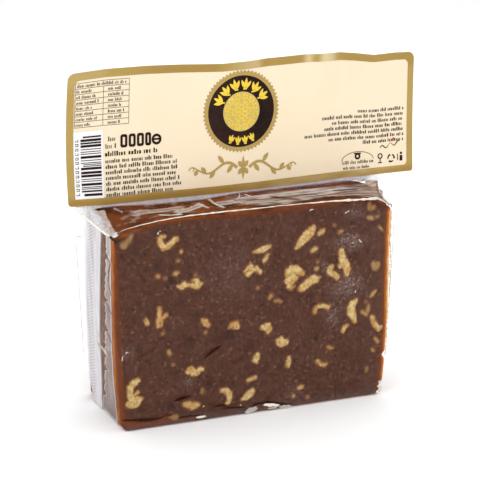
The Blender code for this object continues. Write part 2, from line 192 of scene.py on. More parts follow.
# Dim dark spots of the front face: (x, z, radius, strength)
FRONT_SPOTS = [
    (-41.5, 64.1, 1.8, 0.5), (-35.6, 58.5, 1.5, 0.7), (-25.7, 43.6, 1.6, 0.5),
    (-1, 74.6, 1.2, 0.6), (9.6, 46.3, 1, 0.7), (33.6, 58.9, 0.8, 1),
    (48.4, 63.2, 0.8, 0.5), (49.4, 49.5, 0.8, 0.6), (-28.7, 33.6, 1.7, 0.6),
    (-26.8, 33.8, 0.6, 0.9), (-44, 25.7, 1, 0.4), (-24, 12.4, 1.3, 0.6),
    (-12.4, 33.6, 3.2, 0.5), (-2.9, 29.3, 1.7, 0.5), (-20.2, 14.4, 1.7, 0.4),
    (25.4, 28.2, 1, 1), (39, 19.2, 0.9, 0.8), (38.9, 3.9, 0.7, 0.5),
    (-36.7, 8.5, 1.9, 0.5), (-24.9, 78.4, 1, 0.4), (-50.3, 71.5, 1.6, 0.4),
    (-57.2, 75.6, 1.1, 0.9), (-56, 76.6, 0.9, 0.8),
]

# Milky flecks of trapped air under the film: (x, z, half width, half height, strength)
AIR_FLECKS = [
    (38.5, 66.5, 6, 3.4, 0.9), (38.5, 48.6, 6.5, 5, 0.9), (32.6, 37, 3.4, 4.4, 0.6),
    (28.6, 57.2, 1.6, 2.4, 0.7), (41, 78, 4, 2.4, 0.5), (-28.7, 17.2, 2, 2.4, 0.6),
    (16, 5.5, 5, 2.5, 0.4), (-11, 60, 8, 9, 0.25), (-53, 31.5, 2.5, 2, 0.5),
]

# Short bright glints on the front film: (x, z, length, turn, radius)
FILM_GLINTS = [
    (-41.1, 77.3, 0.9, 70, 0.28), (-40.3, 78, 0.5, 20, 0.16), (21.7, 80.8, 1.8, 20, 0.18),
    (37.2, 78.6, 2.6, 32, 0.17), (43.4, 66.3, 2, 128, 0.2), (40.3, 65.8, 0.6, 0, 0.24),
    (42, 45.6, 0.8, 60, 0.26), (-55.4, 30.1, 2, 80, 0.2), (-53.7, 32.1, 1.4, 20, 0.16),
    (-22.6, 6.2, 0.8, 40, 0.18), (27.4, 16.4, 0.7, 10, 0.14), (-7, 4.4, 0.9, 120, 0.16),
]

# Beads of film along the foot, painted highlights: (x, z, half length, half height, turn, milk)
FILM_BEADS = [
    (6.3, 2.5, 3.9, 0.8, -10, 1), (6.6, 1.2, 2.2, 0.28, -4, 0.8),
    (-23.6, 1.9, 2.3, 0.55, 0, 0.95),
    (-2.4, 1.6, 3, 1.3, 12, 0.38), (12.5, 1, 3.2, 0.7, -6, 0.35),
]

# Edges of the bands on an end of the block, y at heights z: painted glare band, clear band, weld
END_HEIGHTS = (0, 4, 10, 20, 33, 57, 75, 82)
GLARE_START = (-15, -14.6, -13.9, -12.4, -13.1, -16.1, -18.9, -20)
CLEAR_START = (2, 1.4, -1.7, -4.4, -6.6, -11.2, -15.2, -16.2)
WELD_START = (3.4, 3.2, 2.3, 1.5, 1, -3.6, -8, -9.4)

# Crumples where the clear band meets the glare: (z, reach, half height)
CRUMPLES = [(68, 2.2, 1.6), (60.5, 1.6, 1.1), (50, 3, 1.2), (44, 1.6, 0.9), (37.5, 4, 1.3),
            (26, 2.5, 1), (20.5, 3.6, 1.4), (9, 3, 1.8)]

# Clear lines through the glare, where the halva shows: (points (y, z), half width)
END_LINES = [
    ([(-11.2, 78), (-13, 70), (-16.4, 65.4), (-14.8, 62)], 0.45),
    ([(-14.8, 62), (-13.4, 58), (-15.2, 53)], 0.4),
    ([(-9.2, 49.6), (-12.6, 46.6), (-16.6, 43.6)], 0.35),
    ([(-7.6, 40), (-8.6, 36.6), (-12.2, 33.4)], 0.4),
]

# Crest of film along the top front edge, a painted highlight: (x, z, radius)
FRONT_CREST = [
    (-57.4, 78.3, 0.3), (-53.8, 79.8, 0.26), (-48, 80.9, 0.22), (-40, 82, 0.2),
    (-32, 82.6, 0.24), (-24, 82.9, 0.34), (-16, 83.1, 0.3), (-8, 83.2, 0.3),
    (0, 83.2, 0.24), (8, 83.4, 0.18), (18, 83.4, 0.2), (28, 83.4, 0.34), (36, 83.2, 0.46),
    (45, 82.9, 0.66), (50.5, 82.9, 0.9), (53, 81.7, 0.62), (55.4, 80.2, 0.4),
    (57.4, 78.9, 0.26),
]

# Streaks of glare on the top: (points (x, y), half width across, strength)
TOP_STREAKS = [
    ([(-48.4, -8.7), (-46.4, -11.9), (-42.8, -10.8), (-36.6, -12.3), (-30.6, -11.2),
      (-24.5, -10.1)], 1.1, 0.5),
    ([(-33.3, -17.6), (-27.8, -15.5), (-21.3, -11.3), (-16.8, -6.1)], 0.9, 0.6),
    ([(-19.1, -7.8), (-18, -15)], 0.55, 0.7),
    ([(-12.7, -1.6), (-13.2, -9.8), (-12, -16.6)], 0.6, 0.7),
    ([(-13.7, -9.8), (-8.8, -9.1), (-3.5, -8.4)], 1.2, 0.5),
    ([(-38.9, -17.6), (-35.9, -20.4), (-31, -20.8)], 0.35, 0.6),
    ([(-52, -3), (-50, -9)], 0.5, 0.45),
]

# Clear places between the streaks of the top's right half: (points (x, y), half width)
TOP_CLEARINGS = [
    ([(12.5, -6.5), (15, -9), (20.1, -13)], 1.3),
    ([(25.9, -6.8), (30.7, -8.6)], 0.5),
    ([(40.2, -4.8), (49.7, -5.5)], 0.5),
    ([(-3, -15.5), (4.5, -19), (10.1, -17.6)], 1.5),
    ([(3, 0.5), (9, -1)], 0.8),
]

# Sharp little folds over the top, painted highlights: (points (x, y, lift), radius, milk)
TOP_FOLDS = [
    ([(1, 0.5, 1.2), (0.1, -2.8, 0.6), (-3, -6.5, 0.3)], 0.26, 0.9),
    ([(2.5, -1, 0.9), (4.5, -4, 0.4)], 0.22, 0.9),
    ([(-3.9, -8.3, 0.3), (-2.6, -12.2, 0.2)], 0.2, 0.7),
    ([(-19.1, -7, 0.4), (-17.6, -15, 0.2)], 0.22, 0.8),
    ([(-12.9, -2, 0.9), (-13.6, -8.8, 0.3), (-11.6, -16.6, 0.2)], 0.24, 0.9),
    ([(-39.5, -17.2, 0.2), (-36, -20.2, 0.3), (-30.5, -21.4, 0.5)], 0.2, 0.8),
    ([(62.2, -0.6, 1.5), (60.8, -3.4, 0.5), (58.6, -8.5, 0), (57.7, -11.4, 0)], 0.26, 0.8),
]

# Height of the header's upper edge over a straight line: places along it and heights
HEAD_PLACES = (0, 0.03, 0.1, 0.21, 0.31, 0.42, 0.49, 0.56, 0.66, 0.77, 0.81, 0.87, 0.94, 1)
HEAD_RISES = (0.3, 0.7, 1.6, 1.9, 1.5, 0.9, 1.3, 2.1, 2.8, 2.7, 2.2, 1, 1.4, 1.3)

# Kinks of the header under its upper edge: (share of the width, width, depth)
KINKS = [(0.55, 0.02, 1), (0.7, 0.03, -1.3), (0.77, 0.015, 1.1), (0.88, 0.03, -0.8),
         (0.3, 0.04, 0.6)]

# How far the header's lower edge sags under a straight line: places along it and sags
FOOT_PLACES = (0, 0.03, 0.1, 0.28, 0.4, 0.52, 0.64, 0.76, 1)
FOOT_SAGS = (0.2, 0.45, 0.85, 0.9, 1, 0.9, 0.45, 0, 0)

# Height of the thin lip along the foot of the front face, left part: places and heights
LIP_PLACES = (-58, -53, -45, -40, -37, -33, -26.6, -20)
LIP_HEIGHTS = (5.6, 5.1, 3.8, 3.5, 4.7, 3, 2.9, 0)

# Lower edge of the neck under the header, a painted lilac reflection, z at places along x
NECK_PLACES = (-62, -49.4, -35.6, -15.8, 1.3, 26.4, 49.3, 63.4)
NECK_HEIGHTS = (83.8, 83.8, 83.2, 83.2, 84.2, 84.5, 84.9, 84.3)

# Bow of the right end, in mm at heights in mm
BOW_HEIGHTS = (0, 5, 12, 20, 29, 38, 46, 59, 70)
BOWS = (0, 0.2, 0.5, 0.75, 0.8, 0.9, 0.7, 0.25, 0)

# Light on the gold border's upper side: shares of the width, shade below 0, shine above
GOLD_PLACES = (0, 0.09, 0.12, 0.16, 0.23, 0.4, 0.44, 0.49, 0.525, 0.545, 0.65, 0.668,
               0.695, 0.715, 0.742, 0.77, 0.79, 1)
GOLD_TONES = (0.08, 0.08, -0.02, -0.23, -0.52, -0.58, 0, 0.15, 0.22, -0.4, -0.33, 0.5,
              -0.2, 0.55, 0.42, -0.25, -0.42, -0.42)

# Front edge of the painted reflection over the top, y at places along x
HAZE_PLACES = (-8, 0, 9, 20, 32, 42, 53)
HAZE_START = (-8, -17, -20, -17, -13.5, -14.5, -17.8)

# Right limit of the film that lies close over the top's right end, x at places y
BRINK_PLACES = (-20, -11.4, -8.5, -3.4, -1.2)
BRINK = (58.4, 57.5, 58.6, 60.8, 62)

# Rear edge of a weld, y at heights z
WELD_REAR_HEIGHTS = (0, 6, 12, 18)
WELD_REAR = (13, 15.4, 19.6, 23.2)

# Dark fold under the corner where the left end, the front and the top meet
DARK_HOOK = [(-58.9, -19.9, 77.2), (-58.7, -22.2, 76.7), (-57.8, -22.8, 76), (-57.9, -22.8, 74.6)]


# Reading and shaping numbers

def smooth(low, high, value):
    """Ease from 0 at low to 1 at high."""
    share = np.clip((value - low) / (high - low), 0.0, 1.0)
    return share * share * (3 - 2 * share)


def bell(away, width):
    """Bell curve: 1 at no distance, about a third at the width."""
    return np.exp(-(away / width) ** 2)


def tapered(along):
    """1 along a path, falling to 0 over an eighth of its length at both ends."""
    return smooth(0.0, 0.12, along) * smooth(0.0, 0.12, 1 - along)


def headings(path):
    """Direction of a path at each of its points."""
    run = np.append(path[1:], path[-1:], axis=0) - np.append(path[:1], path[:-1], axis=0)
    return run / np.linalg.norm(run, axis=1, keepdims=True)


def as_points(*columns):
    """Points from their coordinates, each a list or one number for all."""
    return np.stack(np.broadcast_arrays(*columns), axis=1)


def ripple(points, scale=1.0, seed=0.0):
    """Noise from -1 to 1 at points or coordinates, with features of about 1 / scale."""
    points = as_points(*points) if isinstance(points, tuple) else points
    shift = Vector((seed * 7.3, seed * 3.1, seed * 5.7))
    stretch = Vector(scale) if np.ndim(scale) else Vector((scale, scale, scale))
    return np.array([noise.noise(Vector(point) * stretch + shift) for point in points])


def distance_to_path(a, b, path):
    """Distance from points (a, b) to a broken line, and how far along it they are."""
    nearest = np.full(np.shape(a), np.inf)
    along = np.zeros(np.shape(a))
    lengths = [math.dist(p, q) for p, q in zip(path, path[1:])]
    walked = 0.0
    for (pa, pb), (qa, qb), length in zip(path, path[1:], lengths):
        share = np.clip(((a - pa) * (qa - pa) + (b - pb) * (qb - pb)) / length ** 2, 0, 1)
        gap = np.hypot(a - pa - share * (qa - pa), b - pb - share * (qb - pb))
        closer = gap < nearest
        nearest = np.where(closer, gap, nearest)
        along = np.where(closer, (walked + share * length) / sum(lengths), along)
        walked += length
    return nearest, along


# Node trees as expressions

def forms(operation):
    """A sum or product of terms, and its reflected form."""
    def own(term, other):
        return term.math(operation, other)

    def reflected(term, other):
        return term.finish.node("ShaderNodeMath", {"operation": operation}, {0: other, 1: term})
    return own, reflected


class Term:
    """A socket of a material's node tree that can stand in sums and products."""

    __add__, __radd__ = forms("ADD")
    __sub__, __rsub__ = forms("SUBTRACT")
    __mul__, __rmul__ = forms("MULTIPLY")

    def __init__(self, finish, socket):
        self.finish, self.socket = finish, socket

    def math(self, operation, *others):
        """Math node of this term and the others."""
        values = dict(enumerate((self, *others)))
        return self.finish.node("ShaderNodeMath", {"operation": operation}, values)

    def between(self, low, high):
        """Smooth step from 0 at low to 1 at high."""
        return self.finish.node("ShaderNodeMapRange", {"interpolation_type": "SMOOTHSTEP"},
                                {"Value": self, "From Min": low, "From Max": high})


class Finish:
    """A material under construction."""

    def __init__(self, name):
        self.material = bpy.data.materials.new(name)
        self.material.use_nodes = True
        self.tree = self.material.node_tree
        self.tree.nodes.clear()
        self.output = self.tree.nodes.new("ShaderNodeOutputMaterial")

    def node(self, kind, settings=None, values=None, out=0):
        """Add a node, set it up, fill its sockets and return one of its outputs."""
        node = self.tree.nodes.new(kind)
        for name, setting in (settings or {}).items():
            setattr(node, name, setting)
        for name, value in (values or {}).items():
            socket = node.inputs[name]
            if isinstance(value, Term):
                self.tree.links.new(value.socket, socket)
            else:
                socket.default_value = value
        return Term(self, node.outputs[out])

    def place(self):
        """Place on the object, in metres."""
        return self.node("ShaderNodeTexCoord", out="Object")

    def mark(self, name):
        """A number stored on the mesh."""
        return self.node("ShaderNodeAttribute", {"attribute_name": name}, out="Fac")

    def grain(self, scale, detail=2.0, rough=0.5, stretch=None):
        """Noise of a scale per metre, about 0.5."""
        place = self.place()
        if stretch:
            place = self.node("ShaderNodeVectorMath", {"operation": "MULTIPLY"},
                              {0: place, 1: stretch}, out="Vector")
        return self.node("ShaderNodeTexNoise", None,
                         {"Vector": place, "Scale": scale, "Detail": detail,
                          "Roughness": rough}, out="Fac")

    def dots(self, **pitches):
        """Regular pattern of dots with a pitch along each of two axes, 1 in a dot."""
        waves = [(self.node("ShaderNodeSeparateXYZ", None, {"Vector": self.place()}, out=axis)
                  * (math.tau / pitch)).math("SINE") for axis, pitch in pitches.items()]
        return (waves[0] * waves[1]).between(0.10, 0.45)

    def layers(self, colour, *layers):
        """Colours laid one over another, each with the share that it covers."""
        for share, over in layers:
            under, over = (value if isinstance(value, Term) else (*value, 1.0)
                           for value in (colour, over))
            colour = self.node("ShaderNodeMix", {"data_type": "RGBA"},
                               {0: share, 6: under, 7: over}, out=2)
        return colour

    def bump(self, height, depth, strength):
        """Normal from a height of 0 to 1 that stands for a depth in metres."""
        return self.node("ShaderNodeBump", None,
                         {"Height": height, "Distance": depth, "Strength": strength},
                         out="Normal")

    def principled(self, values):
        """Principled shader."""
        return self.node("ShaderNodeBsdfPrincipled", None, values)

    def done(self, surface):
        """Connect the surface, or a Principled shader's values, and return the material."""
        if isinstance(surface, dict):
            surface = self.principled(surface)
        self.tree.links.new(surface.socket, self.output.inputs["Surface"])
        return self.material


# Sizes and colours

def maker(kind, **fixed):
    """Maker of one sort of property from its name, default and description."""
    return lambda name, default, description: kind(name=name, description=description,
                                                   default=default, **fixed)


length = maker(FloatProperty, unit="LENGTH", precision=5)
angle = maker(FloatProperty, subtype="ANGLE")
corner = maker(FloatVectorProperty, size=3, subtype="XYZ", unit="LENGTH", precision=5)
colour = maker(FloatVectorProperty, size=3, subtype="COLOR", min=0.0, max=1.0)


class HalvaBlockSizes(bpy.types.PropertyGroup):
    """Sizes of the cast block"""

    left_head: length("Left, head", 0.0582, "Reach of the block to the left at its top")
    left_foot: length("Left, foot", 0.0547, "Reach of the block to the left where it stands")
    right_head: length("Right, head", 0.0577, "Reach of the block to the right at its top")
    right_foot: length("Right, foot", 0.0563, "Reach of the block to the right at its foot")
    right_bulge: length("Right bulge", 0.0018, "How far the right end swells at its top")
    thickness: length("Thickness", 0.0443, "Depth of the block from front to back")
    height: length("Height", BLOCK_TOP, "Height of the block's crown")
    left_shoulder: length("Left shoulder", 0.036, "Where the top starts to drop to the left")
    left_drop: length("Left drop", 0.0052, "How far the top drops at its left end")
    right_shoulder: length("Right shoulder", 0.040, "Where the top starts to drop to the right")
    right_drop: length("Right drop", 0.0045, "How far the top drops at its right end")
    edge_radius: length("Edge radius", 0.0020, "Rounding of the block's edges")
    cell: length("Cell", 0.0009, "Size of the block's mesh cells")


class HalvaFilmSizes(bpy.types.PropertyGroup):
    """Sizes of the clear film"""

    stand_off: length("Stand-off", 0.00025, "Gap between the block and the tight film")
    cell: length("Cell", 0.0010, "Size of the film's mesh cells")
    weld_rise: length("Weld rise", 0.0009, "How far the folded weld stands off the ends")
    rear_slack: length("Rear slack", 0.0010, "How loose the film is at the rear of the ends")
    wing_sag: length("Wing sag", 0.0022, "How far the film sags between block and header")


class HalvaHeaderSizes(bpy.types.PropertyGroup):
    """Sizes and place of the printed header"""

    foot_left: corner("Foot, left", (-0.0695, -0.0030, 0.0854), "Lower left corner")
    foot_right: corner("Foot, right", (0.0806, 0.0035, 0.0864), "Lower right corner")
    head_left: corner("Head, left", (-0.0677, 0.0005, 0.1340), "Upper left corner")
    head_right: corner("Head, right", (0.0804, 0.0060, 0.1343), "Upper right corner")
    width: length("Width", 0.150, "Width of the print")
    height: length("Height", 0.049, "Height of the print")
    head_radius: length("Head radius", 0.0026, "Rounding of the upper corners")
    foot_radius: length("Foot radius", 0.0012, "Rounding of the lower corners")
    border: length("Border", 0.0029, "Width of the gold border")
    belly: length("Belly", 0.0012, "How far the middle bows to the front")
    left_bow: length("Left bow", 0.0009, "How far the left side bows out")
    right_dip: length("Right dip", 0.0004, "How far the right side bows in")
    ripple: length("Ripple", 0.0005, "Depth of the waves in the film")


class HalvaColours(bpy.types.PropertyGroup):
    """Colours of the pack"""

    halva_dark: colour("Halva, dark", (0.062, 0.025, 0.0165), "Dark part of the cocoa halva")
    halva_light: colour("Halva, light", (0.104, 0.046, 0.031), "Light part of the cocoa halva")
    edge_deep: colour("Edge, deep", (0.150, 0.040, 0.0120), "Edges that let some light through")
    edge_glow: colour("Edge glow", (0.42, 0.125, 0.024), "Edges that let much light through")
    edge_bright: colour("Edge, bright", (0.78, 0.45, 0.17), "Edges that the light shines through")
    kernel: colour("Kernel", (0.61, 0.465, 0.225), "Cut walnut kernel")
    kernel_tan: colour("Kernel, tan", (0.43, 0.215, 0.060), "Oily walnut kernel")
    kernel_skin: colour("Kernel skin", (0.20, 0.082, 0.032), "Skin round a kernel")
    # Milky film; these colours also paint glare, streaks and reflections on the film
    milk: colour("Milky film", (0.68, 0.66, 0.69), "Film that has gone milky")
    milk_warm: colour("Milky film, warm", (0.56, 0.435, 0.345), "Milky film close on the halva")
    # Painted lilac reflection in the gathered film under the header
    lilac_reflection: colour("Lilac reflection in film", (0.51, 0.48, 0.53), "Gathered film under the header")
    film_edge: colour("Film edge", (0.36, 0.34, 0.33), "Outline of the loose film")
    hook: colour("Dark fold", (0.060, 0.022, 0.011), "Fold of film with the halva behind it")
    lit_film: colour("Lit film", (0.80, 0.60, 0.36), "Film that catches the halva's glow")
    # Painted reflection of the halva in the film at the top's right end
    halva_reflection: colour("Halva reflected in film", (0.17, 0.075, 0.035), "Film that shows the halva behind it")
    # Painted highlight on the crests and beads of the film
    crest_highlight: colour("Film crease", (0.86, 0.80, 0.70), "Bright crests of the film")
    cream: colour("Cream print", (0.845, 0.705, 0.505), "Ground of the print")
    gold: colour("Gold print", (0.43, 0.29, 0.080), "Border and ornaments")
    bright_gold: colour("Bright gold", (0.80, 0.56, 0.050), "Heart of the medallion")
    heart_gold: colour("Heart gold", (0.56, 0.42, 0.13), "Ground of the medallion's heart")
    plum: colour("Dark print", (0.022, 0.0095, 0.0068), "Ring of the medallion and the bars")
    ink: colour("Small print", (0.050, 0.036, 0.026), "Fine lines of print")
    panel: colour("White panel", (0.84, 0.83, 0.83), "Ground of the striped panel")
    accent: colour("Accent", (0.60, 0.03, 0.02), "Small red mark")


class HalvaStudio(bpy.types.PropertyGroup):
    """Camera and lights"""

    azimuth: angle("Azimuth", math.radians(-23.116), "Turn of the camera round the pack")
    elevation: angle("Elevation", math.radians(15.274), "Height of the camera as an angle")
    roll: angle("Roll", math.radians(0.689), "Tilt of the camera")
    distance: length("Distance", 0.57545, "Distance from the aim to the camera")
    aim: corner("Aim", (0.001524, 0.0, 0.064909), "Point that the camera looks at")
    lens: maker(FloatProperty, unit="CAMERA")("Lens", 108.75, "Focal length on a 36 mm frame")
    sky: maker(FloatProperty)("Sky", 1.0, "Strength of the even light")


GROUPS = {
    "halva_block_sizes": HalvaBlockSizes,
    "halva_film_sizes": HalvaFilmSizes,
    "halva_header_sizes": HalvaHeaderSizes,
    "halva_colours": HalvaColours,
    "halva_studio": HalvaStudio,
}


def chosen(context):
    """Sizes of the block, the film and the header, and the colours."""
    scene = context.scene
    return (scene.halva_block_sizes, scene.halva_film_sizes, scene.halva_header_sizes,
            scene.halva_colours)


# Meshes

def add_piece(name, points, faces, material, replaced=(), marks=None):
    """Make a mesh piece that rides with the pack."""
    mesh = bpy.data.meshes.new(name)
    mesh.from_pydata([tuple(point) for point in points], [], [tuple(face) for face in faces])
    for mark, values in (marks or {}).items():
        layer = mesh.attributes.new(mark, "FLOAT", "POINT")
        layer.data.foreach_set("value", np.asarray(values, np.float32))
    mesh.materials.append(material)
    mesh.shade_smooth()
    mesh.update()
    piece = bpy.data.objects.new(name, mesh)
    bpy.context.scene.collection.objects.link(piece)
    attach(piece, "root")
    if replaced:
        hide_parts(*replaced)


def sheet(columns, rows, across=(0, 1), along=(0, 1)):
    """Places of a grid, listed row by row."""
    a, b = np.meshgrid(np.linspace(*across, columns), np.linspace(*along, rows))
    return a.ravel(), b.ravel()


def grid_faces(columns, rows, first=0, turned=False, closed=False):
    """Quads of a grid whose points are listed row by row; a closed one joins its sides."""
    faces = []
    for row in range(first, first + (rows - 1) * columns, columns):
        for column in range(columns if closed else columns - 1):
            after = (column + 1) % columns
            face = (row + column, row + after, row + columns + after, row + columns + column)
            faces.append(face[::-1] if turned else face)
    return faces


def block_cage(sizes, cell):
    """Closed box cage from -1 to 1 with its sides cut into the block's cells."""
    spans = (sizes.left_head + sizes.right_head, sizes.thickness, sizes.height)
    bm = bmesh.new()
    bmesh.ops.create_cube(bm, size=2.0)
    for axis, span in enumerate(spans):
        along = [edge for edge in bm.edges
                 if abs(edge.verts[0].co[axis] - edge.verts[1].co[axis]) > 1e-6]
        bmesh.ops.subdivide_edges(bm, edges=along, cuts=round(span / cell) - 1, use_grid_fill=True)
    points = np.array([vert.co[:] for vert in bm.verts])
    faces = [[vert.index for vert in face.verts] for face in bm.faces]
    bm.free()
    return points, faces


# Form of the block

def side_reach(sizes, x, y, z):
    """Reach of the block's end on the side of x at a place across and a height."""
    rise = z / sizes.height
    left = sizes.left_foot + (sizes.left_head - sizes.left_foot) * rise
    right = sizes.right_foot + (sizes.right_head - sizes.right_foot) * rise
    right = right + sizes.right_bulge * (1 - (2 * y / sizes.thickness) ** 2) * rise
    right = right + np.interp(z / MM, BOW_HEIGHTS, BOWS) * MM
    return np.where(np.asarray(x) < 0, left, right)


def top_height(sizes, x, y):
    """Height of the block's top, which drops at the outer parts of its long edges."""
    x = np.asarray(x)
    left = np.clip((-x - sizes.left_shoulder) / (sizes.left_head - sizes.left_shoulder), 0, 1)
    right = np.clip((x - sizes.right_shoulder) / (sizes.right_head - sizes.right_shoulder), 0, 1)
    wear = smooth(-6 * MM, -20 * MM, y) + 0.6 * smooth(8 * MM, 21 * MM, y)
    drop = sizes.left_drop * left ** 1.8 + sizes.right_drop * right ** 2.4
    return sizes.height - drop * wear


def block_skin(sizes, cage, grow=0.0):
    """Points, outward directions and edge nearness of the block's surface."""
    half = np.array([sizes.left_head, sizes.thickness / 2, sizes.height / 2]) + grow
    radius = sizes.edge_radius + grow
    raw = cage * half
    core = np.clip(raw, radius - half, half - radius)
    out = raw - core
    out /= np.linalg.norm(out, axis=1, keepdims=True)
    points = core + out * radius
    gaps = np.sort(half - np.abs(points), axis=1)
    z = points[:, 2] + half[2] - grow
    level = np.clip(z, 0, sizes.height)
    points[:, 0] *= (side_reach(sizes, points[:, 0], points[:, 1], level) + grow) / half[0]
    top = top_height(sizes, points[:, 0], points[:, 1])
    points[:, 2] = np.where(z > 0, z * top / sizes.height, z)
    return points, out, gaps[:, 1]


def face_lift(points):
    """Gentle unevenness of the cut faces."""
    return 0.12 * MM * ripple(points, 90, 1) + 0.05 * MM * ripple(points, 330, 2)


def crease_depth(x, z):
    """Depth of the creases of the front face at places in metres."""
    depth = np.zeros(np.shape(x))
    for path, width, deep in FRONT_CREASES:
        gap, along = distance_to_path(x / MM, z / MM, path)
        depth += deep * MM * bell(gap, 0.5 * width) * tapered(along)
    return depth


def spot_share(x, z, spots):
    """Strongest of some round or oval spots at places in metres."""
    share = np.zeros(np.shape(x))
    for cx, cz, *radii, strength in spots:
        away = ((x / MM - cx) / radii[0]) ** 2 + ((z / MM - cz) / radii[-1]) ** 2
        share = np.maximum(share, strength * np.exp(-away))
    return share


def end_bands(z):
    """Where glare, clear band and weld start on an end at heights z, in metres."""
    return [np.interp(z / MM, END_HEIGHTS, band) * MM
            for band in (GLARE_START, CLEAR_START, WELD_START)]


# Finishes

def dimmed(colour_value, share):
    """A colour made darker or lighter."""
    return tuple(np.minimum(1.0, np.multiply(colour_value, share)))


def halva_finish(colours):
    """Dense cocoa halva: fine grain, pale and dark specks, painted edge light and painted shade."""
    finish = Finish("cocoa halva")
    cloud, mottle, grain = (finish.grain(120), finish.grain(420, 3.0, 0.6),
                            finish.grain(1150, 3.0, 0.7))
    glow = finish.mark("glow") * (0.7 + 0.6 * mottle)
    flecks = finish.grain(1300, 2.0, 0.7).between(0.50, 0.60)
    body = finish.layers(
        colours.halva_dark,
        ((cloud * 0.1 + mottle * 0.2 + grain * 0.7).between(0.38, 0.62), colours.halva_light),
        (finish.grain(260).between(0.54, 0.72) * 0.4, (0.108, 0.040, 0.022)),
        (finish.grain(850, 1.0, 0.4).between(0.60, 0.74) * 0.5, (0.24, 0.145, 0.095)),
        (finish.grain(700, 1.0, 0.4).between(0.62, 0.76) * 0.6, (0.020, 0.011, 0.010)),
        (glow.between(0.05, 0.5), colours.edge_deep),
        (glow.between(0.5, 1.0), colours.edge_glow),
        (glow.between(1.0, 1.5), colours.edge_bright),
        (finish.mark("spot"), (0.022, 0.014, 0.012)),
        (finish.mark("shade") * (0.3 + 1.4 * cloud).between(0.8, 1.3), (0.040, 0.011, 0.004)),
        # Milky flecks of air under the film, with a painted brightening toward the right end
        (finish.mark("milk") * (0.12 + flecks) * 0.62, (0.40, 0.30, 0.27)))
    return finish.done({
        "Base Color": body,
        "Roughness": 0.55 - 0.12 * grain,
        "Specular IOR Level": 0.0,
        "Normal": finish.bump(grain * 0.6 + mottle * 0.4, 0.00030, 0.8),
    })


def kernel_finish(colours):
    """Cut walnut: cream heart, brown skin, a stained margin that fades into the halva."""
    finish = Finish("walnut kernel")
    mottle, fine, ragged = (finish.grain(480, 3.0, 0.6), finish.grain(1500, 2.0, 0.6),
                            finish.grain(900, 2.0, 0.6))
    depth = finish.mark("depth") + (ragged - 0.5) * 0.9 + (fine - 0.5) * 0.4
    veins = finish.grain(620, stretch=(1.0, 1.0, 0.6)).between(0.61, 0.69)
    heart = finish.layers(
        (0.43, 0.275, 0.095), ((mottle * 0.6 + fine * 0.4).between(0.40, 0.60), colours.kernel),
        (finish.grain(340).between(0.50, 0.62) * 0.75, colours.kernel_tan),
        (veins * 0.6, colours.kernel_skin), (finish.mark("tan"), colours.kernel_tan))
    body = finish.layers(
        colours.halva_dark, (fine.between(0.4, 0.6), colours.halva_light),
        (depth.between(-0.55, -0.10), colours.kernel_skin), (depth.between(-0.12, 0.60), heart),
        (finish.mark("sunk"), (0.125, 0.060, 0.032)))
    return finish.done({
        "Base Color": body,
        "Roughness": 0.5,
        "Specular IOR Level": 0.04,
        "Normal": finish.bump(mottle * 0.6 + fine * 0.4, 0.0004, 0.8),
    })


def crack_finish():
    """Shadowed crack in the halva."""
    finish = Finish("halva crack shadow")
    return finish.done({
        "Base Color": finish.layers((0.012, 0.003, 0.001),
                                    (finish.grain(1200, 2.0, 0.6), (0.050, 0.013, 0.005))),
        "Roughness": 0.6,
        "Specular IOR Level": 0.0,
    })


def film_finish(name, colours, dotted=False):
    """Clear film: see-through, mirrors more at a slant, milky where marked, and painted glare and
    reflections where marked.
    """
    finish = Finish(name)
    fine = finish.grain(260)
    normal = finish.bump(fine, 0.0004, 0.35)
    slant = finish.node("ShaderNodeFresnel", None, {"IOR": 1.5, "Normal": normal}, out="Fac")
    clear = finish.node("ShaderNodeBsdfTransparent")
    mirror = finish.node("ShaderNodeBsdfGlossy", None,
                         {"Color": (0.95, 0.94, 1.0, 1.0), "Roughness": 0.08,
                          "Normal": normal})
    film = finish.node("ShaderNodeMixShader", None,
                       {0: (slant * finish.mark("gloss")).math("MINIMUM", 1.0),
                        1: clear, 2: mirror})
    streaks = finish.grain(300, 3.0, 0.65, stretch=(1.0, 1.0, 0.35))
    pale = finish.layers(
        dimmed(colours.milk, 0.93), (streaks, colours.milk),
        (finish.mark("warm"), colours.milk_warm), (finish.mark("lilac"), colours.lilac_reflection),
        (finish.mark("halva_reflection"), colours.halva_reflection))
    height = fine
    if dotted:
        dots = finish.dots(Y=0.0030, Z=0.00125) * finish.mark("dots")
        pale = finish.layers(pale, (finish.mark("white"), (0.95, 0.95, 0.95)),
                             (dots, (0.40, 0.34, 0.385)))
        height = fine * 0.4 - dots * 0.6
    cloud = finish.principled({
        "Base Color": pale,
        "Roughness": 0.30,
        "Specular IOR Level": 0.4,
        "Normal": finish.bump(height, 0.0005, 0.5),
    })
    milk = finish.mark("milk") * (0.75 + 0.5 * streaks)
    return finish.done(finish.node("ShaderNodeMixShader", None,
                                   {0: milk.math("MINIMUM", 0.97), 1: film, 2: cloud}))


def crease_finish(name, colour_value, gloss=0.5):
    """Crest of folded film in a flat colour, a painted highlight when the colour is bright."""
    finish = Finish(name)
    broken = finish.grain(420, 3.0, 0.7)
    return finish.done({
        "Base Color": finish.layers(dimmed(colour_value, 0.9), (broken, colour_value)),
        "Roughness": 0.22,
        "Specular IOR Level": gloss,
        "Alpha": finish.mark("milk") * broken.between(0.15, 0.45),
    })


